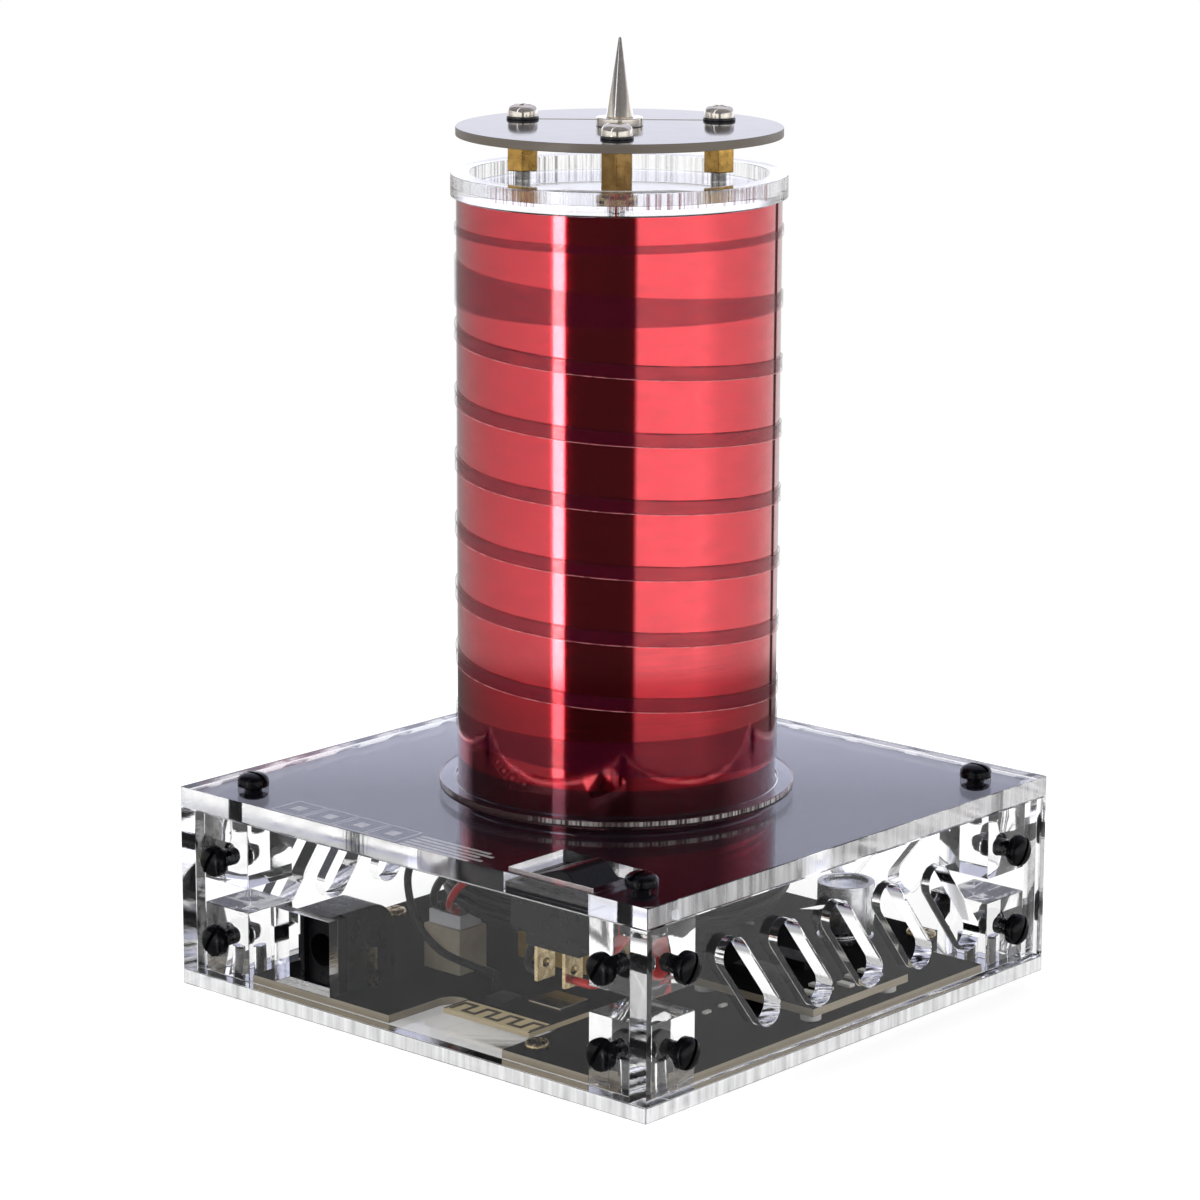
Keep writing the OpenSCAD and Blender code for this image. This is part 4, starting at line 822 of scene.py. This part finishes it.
def make_floor(colour):
    """A floor that takes the object's shadow near it and fades to white."""
    choose()
    bpy.ops.mesh.primitive_circle_add(vertices=96, radius=4.0, fill_type="NGON")
    floor = bpy.context.object
    floor.name = "pale_floor"
    bpy.ops.object.mode_set(mode="EDIT")
    bpy.ops.mesh.inset(thickness=3.2)
    bpy.ops.object.mode_set(mode="OBJECT")
    material, tree, shader = new_material("Pale floor")
    away = vector_calc(tree, "LENGTH", object_place(tree))["Value"]
    far = ranged(tree, away, 0.16, 0.5, soft=True)
    grain = ranged(tree, noise(tree, millimetres(tree), 0.5, 3.0), 0.3, 0.7, 0.97, 1.0)
    near_colour = vector_calc(tree, "SCALE", colour, amount=grain)[0]
    feed(tree, shader.inputs["Base Color"], blend_colours(tree, far, near_colour, (0, 0, 0, 1)))
    shader.inputs["Roughness"].default_value = 0.9
    shader.inputs["Specular IOR Level"].default_value = 0.0
    shader.inputs["Emission Color"].default_value = (1, 1, 1, 1)
    glow = ranged(tree, far, 0.0, 1.0, 0.36, 1.0)
    feed(tree, shader.inputs["Emission Strength"], calc(tree, "MULTIPLY", seen_ray(tree), glow))
    floor.data.materials.append(material)
    floor.visible_glossy = False


class SetStage(bpy.types.Operator):
    """Sets the camera, the pale floor, the world and the soft lamps"""
    bl_idname = "transformer.set_stage"
    bl_label = "Stage"

    def execute(self, context):
        own = settings()
        scene = context.scene
        set_camera(scene, own)
        scene.view_settings.view_transform = "Standard"
        scene.cycles.max_bounces = 24
        scene.cycles.glossy_bounces = 12
        scene.cycles.transmission_bounces = 20
        scene.cycles.transparent_max_bounces = 24

        world = bpy.data.worlds.new("Studio")
        scene.world = world
        world.use_nodes = True
        tree = world.node_tree
        tree.nodes.clear()
        light = put(tree, "ShaderNodeBackground")
        light.inputs["Color"].default_value = (1, 1, 1, 1)
        feed(tree, light.inputs["Strength"], ranged(tree, seen_ray(tree), 0.0, 1.0, 0.45, 1.0))
        feed(tree, put(tree, "ShaderNodeOutputWorld").inputs["Surface"], light.outputs[0])
        make_floor(own.floor_colour)

        surround = turned("mirrored_studio", [(300, -900), (1600, -900), (1600, 1500), (1500, 1510)], 128)
        bpy.ops.object.mode_set(mode="EDIT")
        bpy.ops.mesh.flip_normals()
        bpy.ops.object.mode_set(mode="OBJECT")
        surround.data.materials.append(surround_material())
        surround.visible_camera = False
        surround.visible_diffuse = False
        surround.visible_shadow = False
        surround.visible_volume_scatter = False

        power = own.lamp_power
        soft_lamp("lamp_left", (-0.5, -1.1, 0.9), (0, 0, 0.06), (1.0, 0.8), power)
        soft_lamp("lamp_right", (1.2, 0.2, 0.7), (0, 0, 0.06), (0.8, 0.8), power * 0.7)
        soft_lamp("lamp_top", (0, 0.2, 1.4), (0, 0, 0), (1.4, 1.4), power * 0.9)
        return {"FINISHED"}


# The case

def clear_piece(node, name, kind):
    """A clear node with fine chamfers, a little smaller than its place so that no two faces touch."""
    own = settings()
    piece = node_copy(node, name, own.glass_gap / MM)
    soften(piece, own.edge_chamfer / MM, 1)
    return done(piece, kind)


class MakeClearCase(bpy.types.Operator):
    """Makes the clear plates, walls and corner blocks with fine chamfers and saw-marked edges"""
    bl_idname = "transformer.make_clear_case"
    bl_label = "Clear case"

    def execute(self, context):
        for node, kind in (("bottom_plate", "plate"), ("top_plate", "plate"), ("front_wall", "side_y"),
                ("back_wall", "side_y"), ("left_wall", "side_x"), ("right_wall", "side_x"),
                ("lower_blocks", "block"), ("upper_blocks", "block")):
            clear_piece(node, "clear_" + node, kind)
        # The bottom strips' frost glows a little: painted light.
        for name, low, high, kind, quarters in (
                ("bottom_edge_glowing_frost", 0.15, FLOOR_T - 0.15, "frost", range(4)),
                ("top_edge_frost", LID_LOW + 0.2, LID_TOP - 0.2, "faint_frost", (1, 3))):
            strip = block(name, (-HALF + 0.2, -HALF - FILM_FAR, low), (HALF - 0.2, -HALF - FILM_NEAR, high))
            strips = repeat(name, strip, [at(0, 0, 0, 90 * quarter) for quarter in quarters])
            strips.visible_glossy = False
            done(strips, kind)
        return {"FINISHED"}


class MakeMask(bpy.types.Operator):
    """Makes the black sheet under the top plate, with plain cells and bars at its front edge"""
    bl_idname = "transformer.make_mask"
    bl_label = "Black sheet"

    def execute(self, context):
        mask = node_copy("top_mask", "black_sheet")
        mask.data.transform(Matrix.Translation((0, 0, (MASK_LOW - LID_LOW) * MM)))
        done(mask, "mask")
        low, high = LID_LOW - 0.016, LID_LOW - 0.004
        side, line, step, left, front = 7.8, 0.3, 8.4, -38.0, -57.0
        bar_step, bar_left, bar_right, bar_longer = 1.5, -3.6, 14.0, 2.0
        inner = (side / 3, side * 2 / 3)
        bars = ((0, side, 0, line), (0, side, side - line, side), (0, line, line, side - line),
            (side - line, side, line, side - line), inner * 2)
        marks = []
        for cell in range(4):
            for x0, x1, y0, y1 in bars:
                x = left + step * cell
                marks.append(block("mark", (x + x0, front + y0, low), (x + x1, front + y1, high)))
        for row in range(5):
            y = front + bar_step * row
            right = bar_right + row % 2 * bar_longer
            marks.append(block("mark", (bar_left, y - 0.4, low), (right, y + 0.5, high)))
        done(unite("plain_marks", *marks), "marks")
        return {"FINISHED"}


def slotted_screw(name, length, sides=40):
    """A pan-headed, slotted screw with its seat at height 0 and its threaded shank below."""
    lead_in, thread_step, thread_depth = 0.35, 0.25, 0.06
    profile = [(SHANK_R - lead_in, -length), (SHANK_R, -length + lead_in)]
    z = -length + lead_in
    while z < -0.6:
        profile += [(SHANK_R - thread_depth, z + thread_step), (SHANK_R, z + 2 * thread_step)]
        z += 2 * thread_step
    side_h = HEAD_H * 0.44
    dome_r = HEAD_R - 0.02
    profile += [(SHANK_R, 0.0), (HEAD_R - 0.2, 0.0), (dome_r, 0.12), (HEAD_R, side_h - 0.1)]
    for k in range(9):
        turn = math.radians(90 * k / 8)
        wide = math.cos(turn) ** 0.72 if k < 8 else 0.0
        profile.append((dome_r * wide, side_h + (HEAD_H - side_h) * math.sin(turn)))
    obj = turned(name, profile, sides)
    slot_half, slot_deep = 0.42, 1.1
    cut(obj, block("slot_tool", (-4, -slot_half, HEAD_H - slot_deep), (4, slot_half, HEAD_H + 1)))
    return smooth(obj, 35.0)


class MakeCaseScrews(bpy.types.Operator):
    """Makes the black slotted screws of the walls, the top plate and the bottom plate"""
    bl_idname = "transformer.make_case_screws"
    bl_label = "Case screws"

    def execute(self, context):
        lie = Matrix.Rotation(math.radians(90), 4, "X") @ Matrix.Rotation(math.radians(60), 4, "Z")
        walls = [at(0, 0, 0, 90 * quarter) @ at(x, -HALF, z) @ lie for quarter in range(4)
            for x in (-CORNER_AT, CORNER_AT) for z in (LOW_SCREW_Z, HIGH_SCREW_Z)]
        lids = [at(0, 0, 0, 90 * quarter) @ at(CORNER_AT, CORNER_AT, LID_TOP) for quarter in range(4)]
        for name, length, places, node in (("wall_screw_set", 8.0, walls, "wall_screws"),
                ("lid_screw_set", 8.5, lids, "lid_screws")):
            screws = repeat(name, slotted_screw("screw", length), places)
            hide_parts(node)
            done(screws, "black_plastic")
        dress([("floor_screws", "floor_screw_set", "nylon_black", "black_plastic", 0.12, 2)])
        return {"FINISHED"}


# The coil

def tape_edge(turns):
    return TAPE_HIGH - TAPE_PITCH * turns


def wrapped_strip(name, rows, radius=TAPE_R + 0.16, thick=0.1):
    """A strip of tape round the coil, from rows of turns, lower edge and upper edge."""
    choose()
    bpy.ops.mesh.primitive_grid_add(x_subdivisions=len(rows) - 1, y_subdivisions=1, size=1)
    obj = bpy.context.object
    obj.name = name
    spots = sorted(obj.data.vertices, key=lambda v: (round(v.co.x, 6), v.co.y))
    for (turns, low, high), pair in zip(rows, zip(spots[0::2], spots[1::2])):
        for spot, z in zip(pair, (low, high)):
            spot.co = [part * MM for part in on_circle(radius, TAPE_LEAVES + 360 * turns, z)]
    apply_modifier(obj, "SOLIDIFY", thickness=thick * MM, offset=0.0)
    return smooth(mend(obj))


def tape_laps():
    """The strips where the tape lies over itself, and two fine lines along the climbing one: a painted
    highlight and a painted shadow line.
    """
    steps = 128
    first, last = TAPE_W / TAPE_PITCH, (TAPE_HIGH - LAST_TURN_HIGH - LAP_W - 0.2) / TAPE_PITCH
    low_from = (TAPE_HIGH - TAPE_W - LAST_TURN_HIGH) / TAPE_PITCH
    climb = [first + k / steps for k in range(int((last - first) * steps) + 1)]
    laps = [wrapped_strip("lap_climb", [(t, tape_edge(t) - LAP_W, tape_edge(t)) for t in climb]),
        wrapped_strip("lap_first", [(first - k / steps, tape_edge(first) + 0.05, tape_edge(first - k / steps))
            for k in range(1, steps)]),
        wrapped_strip("lap_last", [(low_from + k / steps, tape_edge(low_from + k / steps) - TAPE_W,
            LAST_TURN_HIGH - 0.05) for k in range(1, steps)]),
        wrapped_strip("lap_end", [(k / steps, TAPE_HIGH - 1.6, TAPE_HIGH) for k in range(steps + 1)])]
    half_line = 0.06
    # A painted highlight at the lap's lower edge and a painted shadow line at the tape's edge.
    for name, drop, kind in (("tape_painted_highlight", LAP_W, "tape_edge"), ("tape_painted_shadow_line", 0.0, "tape_shadow")):
        rows = [(t, tape_edge(t) - drop - half_line, tape_edge(t) - drop + half_line) for t in climb]
        done(wrapped_strip(name, rows, TAPE_R + 0.22, 0.03), kind)
    lap = unite("tape_laps", *laps)
    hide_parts("tape_overlap")
    done(lap, "lap")


def rim_film(name, radius, low, high, kind):
    """A film just off a clear disc's rim, for the fine lines that turning leaves, with painted reflection,
    and on the base ring a painted shadow, in their colour.
    """
    near, far = radius + FILM_NEAR, radius + FILM_FAR
    film = turned(name, [(near, low), (far, low), (far, high), (near, high)], 96, ring=True)
    return done(film, kind)


class MakeCoil(bpy.types.Operator):
    """Makes the coil: tube, wire layer, clear tape with its laps, and the clear ring at its foot"""
    bl_idname = "transformer.make_coil"
    bl_label = "Coil"

    def execute(self, context):
        for node, name, shrink, slot, kind in (("coil_tube", "clear_tube", 0.01, "tube_plastic", "tube"),
                ("secondary_winding", "wire_layer", 0.0, "enamelled_wire", "wire"),
                ("winding_tape", "clear_tape_layer", 0.0, "clear_tape", "tape")):
            done(smooth(node_copy(node, name, shrink)), kind)
        tape_laps()
        ring = clear_piece("base_ring", "clear_base_ring", "disc")
        film = rim_film("ring_rim_painted_reflection", RING_R, LID_TOP + 0.1, LID_TOP + 1.4, "ring_rim")
        ring.visible_glossy = False
        film.visible_glossy = False
        return {"FINISHED"}


# The top end

def pan_screw(name, diameter, head_d, head_h, length):
    """A pan-headed screw with a cross recess, and its seat at height 0."""
    dome = ((0.5, 0.5), (0.475, 0.7), (0.42, 0.86), (0.34, 0.96), (0.2, 1.0), (0.0, 1.0))
    profile = [(diameter / 2 - 0.2, -length), (diameter / 2, -length + 0.3), (diameter / 2, 0),
        (head_d / 2 - 0.1, 0), (head_d / 2, 0.1)] + [(head_d * wide, head_h * high) for wide, high in dome]
    obj = turned(name, profile, 48)
    for turn in (0, 90):
        tool = block("recess_tool", (-head_d * 0.29, -head_d * 0.07, head_h * 0.42),
            (head_d * 0.29, head_d * 0.07, head_h + 1))
        tool.data.transform(Matrix.Rotation(math.radians(turn + 20), 4, "Z"))
        cut(obj, tool)
    return smooth(obj, 35.0)


class MakeTopEnd(bpy.types.Operator):
    """Makes the clear end disc, the standoffs, the top electrode, its screws and the spike"""
    bl_idname = "transformer.make_top_end"
    bl_label = "Top end"

    def execute(self, context):
        clear_piece("end_disc", "clear_end_disc", "disc")
        rim_film("disc_rim_painted_reflection", END_DISC_R, TUBE_TOP + 1.1, DISC_TOP - 0.2, "striae")
        # The tall standoff's darker brass is painted shade.
        rows = (("tall_standoff", "brass", "dark_brass", 0.18),
            ("short_standoffs", "brass", "stud_brass", 0.18),
            ("disc_screws", "steel", "steel", 0.1), ("top_disc", "board_black", "electrode", 0.12),
            ("top_washers", "washer_dark", "washer", 0.08), ("spike_collar", "steel", "spike", 0.2),
            ("spike_nut", "steel", "steel", 0.12), ("lead_lug", "contact_metal", "contact", 0.06))
        dress([(node, "fine_" + node, slot, kind, width, 2) for node, slot, kind, width in rows])
        washer_t = 0.5
        places = [at(*on_circle(STAND_R, t, PLATE_TOP + washer_t), t) for t in STAND_TURNS]
        screws = repeat("cross_screws", pan_screw("screw", 3.0, 5.8, 2.3, 4.9), places)
        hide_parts("top_screws")
        done(screws, "spike")
        ends = [on_circle(STAND_R, t, PLATE_TOP) for t in STAND_TURNS[1:]]
        done(round_wire("electrode_trace", ends, 0.16, 8), "board")
        spike = turned("spike", [(1.3, 165.0), (1.5, 165.2), (1.5, COLLAR_TOP), (2.45, COLLAR_TOP),
            (2.6, COLLAR_TOP + 0.15), (0.33, SPIKE_TIP - 0.4), (0.25, SPIKE_TIP - 0.15),
            (0.12, SPIKE_TIP - 0.03), (0.0, SPIKE_TIP)], 64)
        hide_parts("discharge_spike")
        done(spike, "spike")
        return {"FINISHED"}


# The switch, the inlet and the boards

class MakeSwitch(bpy.types.Operator):
    """Makes the rocker switch with its rim, rocker and blades"""
    bl_idname = "transformer.make_switch"
    bl_label = "Switch"

    def execute(self, context):
        dress([("switch_housing", "switch_body", "switch_black", "switch_black", 0.15, 2),
            ("switch_rocker", "rocker_cap", "switch_black", "switch_black", 0.3, 3),
            ("switch_terminals", "switch_blades", "contact_metal", "contact", 0.1, 2)])
        return {"FINISHED"}


class MakeInlet(bpy.types.Operator):
    """Makes the power inlet with its pin and tags"""
    bl_idname = "transformer.make_inlet"
    bl_label = "Power inlet"

    def execute(self, context):
        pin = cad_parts["inlet_pin"].data
        pin.materials.clear()
        pin.materials.append(MATERIALS["contact"])
        dress([("power_inlet", "inlet_body", "switch_black", "switch_black", 0.25, 2),
            ("inlet_contacts", "inlet_tags", "contact_metal", "contact", 0.08, 2)])
        return {"FINISHED"}


class MakeBoards(bpy.types.Operator):
    """Finishes the circuit boards and the parts on them"""
    bl_idname = "transformer.make_boards"
    bl_label = "Boards"

    def execute(self, context):
        rows = (("main_board", "board_black", "board", 0.08), ("radio_board", "board_black", "radio", 0.06),
            ("driver_board", "board_black", "board", 0.08),
            ("board_screws", "contact_metal", "contact", 0.06),
            ("radio_antenna", "copper", "aerial", 0.02), ("radio_chip", "chip_black", "chip", 0.08),
            ("radio_shield", "steel", "steel", 0.1), ("board_spacers", "spacer_white", "white", 0.1),
            ("driver_chips", "chip_black", "chip", 0.1),
            ("driver_resistors", "pale_ceramic", "ceramic", 0.06),
            ("main_capacitor", "can_silver", "can", 0.2), ("film_capacitor", "film_yellow", "film", 0.5),
            ("heat_sink", "sink_black", "sink", 0.12), ("power_transistors", "chip_black", "chip", 0.12),
            ("transistor_screws", "steel", "steel", 0.06), ("supply_header", "header_beige", "header", 0.15),
            ("supply_plug", "plug_grey", "plug", 0.15), ("primary_former", "former_black", "former", 0.15))
        dress([(node, "fine_" + node, slot, kind, width, 2) for node, slot, kind, width in rows])
        chips = []
        spots = ((42.2, 14.8, 0), (35.0, -15.7, 90), (34.7, -10.6, 90), (5.0, 33.3, 0), (44.0, 22.0, 0))
        for x, y, turn in spots:
            chip = block("chip_part", (-0.9, -0.45, BOARD_TOP), (0.9, 0.45, BOARD_TOP + 0.5), 0.06)
            chip.data.transform(at(x, y, 0, turn))
            chips.append(chip)
        done(unite("board_small_parts", *chips), "ceramic")
        return {"FINISHED"}


# The leads, on the routes of the construction model

RED_ROUTE = ((-16, -27.2, 16.4), (-16, -27.2, 16.7), (-16, -27.2, 17), (-15.8, -28, 17.5), (-15.2, -29.6, 18),
    (-13.5, -31.7, 19.4), (-11, -33.6, 22), (-8, -34.6, 25), (-3, -35.4, 28.5), (3, -36, 31), (11, -37, 32.4),
    (20, -38.6, 33), (31, -40, 32.4), (38, -40.4, 30.4), (41.4, -41, 26.6), (42.2, -43.4, 22.8),
    (41.4, -47, 20.2), (39.4, -49.3, 19.3), (37.4, -49.6, 19.2), (36, -49.6, 19.2), (34.8, -49.6, 19.2))
BLACK_ROUTE = ((-19.6, -27.2, 16.4), (-19.6, -27.2, 16.7), (-19.6, -27.2, 17), (-19.3, -28, 17.5),
    (-18.5, -30, 18), (-16.8, -32.6, 19.6), (-14.4, -34.8, 22.8), (-11, -36.4, 26.2), (-6, -37.8, 29.4),
    (1, -38.6, 31.4), (9, -39.6, 31.4), (16, -41, 30), (20, -43, 26.6), (21.6, -46, 23), (22.6, -48.8, 20.2),
    (24, -49.6, 19.3), (25.4, -49.6, 19.2), (26.4, -49.6, 19.2), (27.2, -49.6, 19.2))
PRIMARY_START = ((3.4, 34, 4.6), (3.4, 34, 6.4), (3.4, 34, 8.4), (3, 34, 12), (0.5, 33.7, 16.6),
    (-4, 32.9, 18.8))
PRIMARY_END = ((-20, -26, 33), (-18, -30.5, 32.4), (-17.2, -36, 30.6), (-17, -39.4, 27), (-15.6, -40.4, 22),
    (-13.5, -40, 17), (-9.6, -38, 12.4), (-5.4, -33.8, 9.4), (-3.2, -30.4, 7.6), (-3, -29.8, 6.4),
    (-3, -29.8, 5.4), (-3, -29.8, 4.6))
LEAD_D = 1.6
PRIMARY_D = 1.5


def primary_route():
    """From the board up to the former, six and a third turns round it, and down to the board again."""
    low, pitch, rings, first_turn, turns = 19.3, 2.3, 96, 105, 6 + 1 / 3
    former_flat_r, half_side, wire_off = 31.2, math.radians(7.5), 0.8
    radius = former_flat_r / math.cos(half_side) + wire_off
    wound = [Vector(on_circle(radius, first_turn + 360 * k / rings, low + pitch * k / rings))
        for k in range(int(rings * turns) + 1)]
    return eased([*PRIMARY_START, wound[0]])[:-1] + wound[:-1] + eased([wound[-1], *PRIMARY_END])


class MakeLeads(bpy.types.Operator):
    """Makes the supply leads, the primary winding and the coil's fine lead ends"""
    bl_idname = "transformer.make_leads"
    bl_label = "Leads and primary"

    def execute(self, context):
        for node, route, diameter, sides, slot in (
                ("supply_lead_red", eased(RED_ROUTE), LEAD_D, 16, "lead_red"),
                ("supply_lead_black", eased(BLACK_ROUTE), LEAD_D, 16, "lead_black"),
                ("primary_winding", primary_route(), PRIMARY_D, 12, "lead_black")):
            lead = round_wire("fine_" + node, route, diameter, sides)
            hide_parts(node)
            done(lead, slot)
        for node in ("top_lead", "low_lead"):
            done(smooth(node_copy(node, "fine_" + node), 60.0), "fine_wire")
        return {"FINISHED"}


class TransformerPanel(bpy.types.Panel):
    """Lists the makers of the transformer's pieces"""
    bl_idname = "VIEW3D_PT_transformer"
    bl_label = "Transformer"
    bl_space_type = "VIEW_3D"
    bl_region_type = "UI"
    bl_category = "Transformer"

    def draw(self, context):
        for maker in MAKERS:
            self.layout.operator(maker.bl_idname)
        for name in TransformerSettings.__annotations__:
            self.layout.prop(context.scene.transformer, name)


MAKERS = (SetStage, MakeClearCase, MakeMask, MakeCaseScrews, MakeCoil, MakeTopEnd, MakeSwitch, MakeInlet,
    MakeBoards, MakeLeads)
CLASSES = (TransformerSettings,) + MAKERS + (TransformerPanel,)


def register():
    for kind in CLASSES:
        bpy.utils.register_class(kind)
    bpy.types.Scene.transformer = PointerProperty(type=TransformerSettings)


def unregister():
    del bpy.types.Scene.transformer
    for kind in reversed(CLASSES):
        bpy.utils.unregister_class(kind)


def main():
    register()
    make_materials(settings())
    for maker in MAKERS:
        family, action = maker.bl_idname.split(".")
        getattr(getattr(bpy.ops, family), action)()


if __name__ == "__main__":
    main()
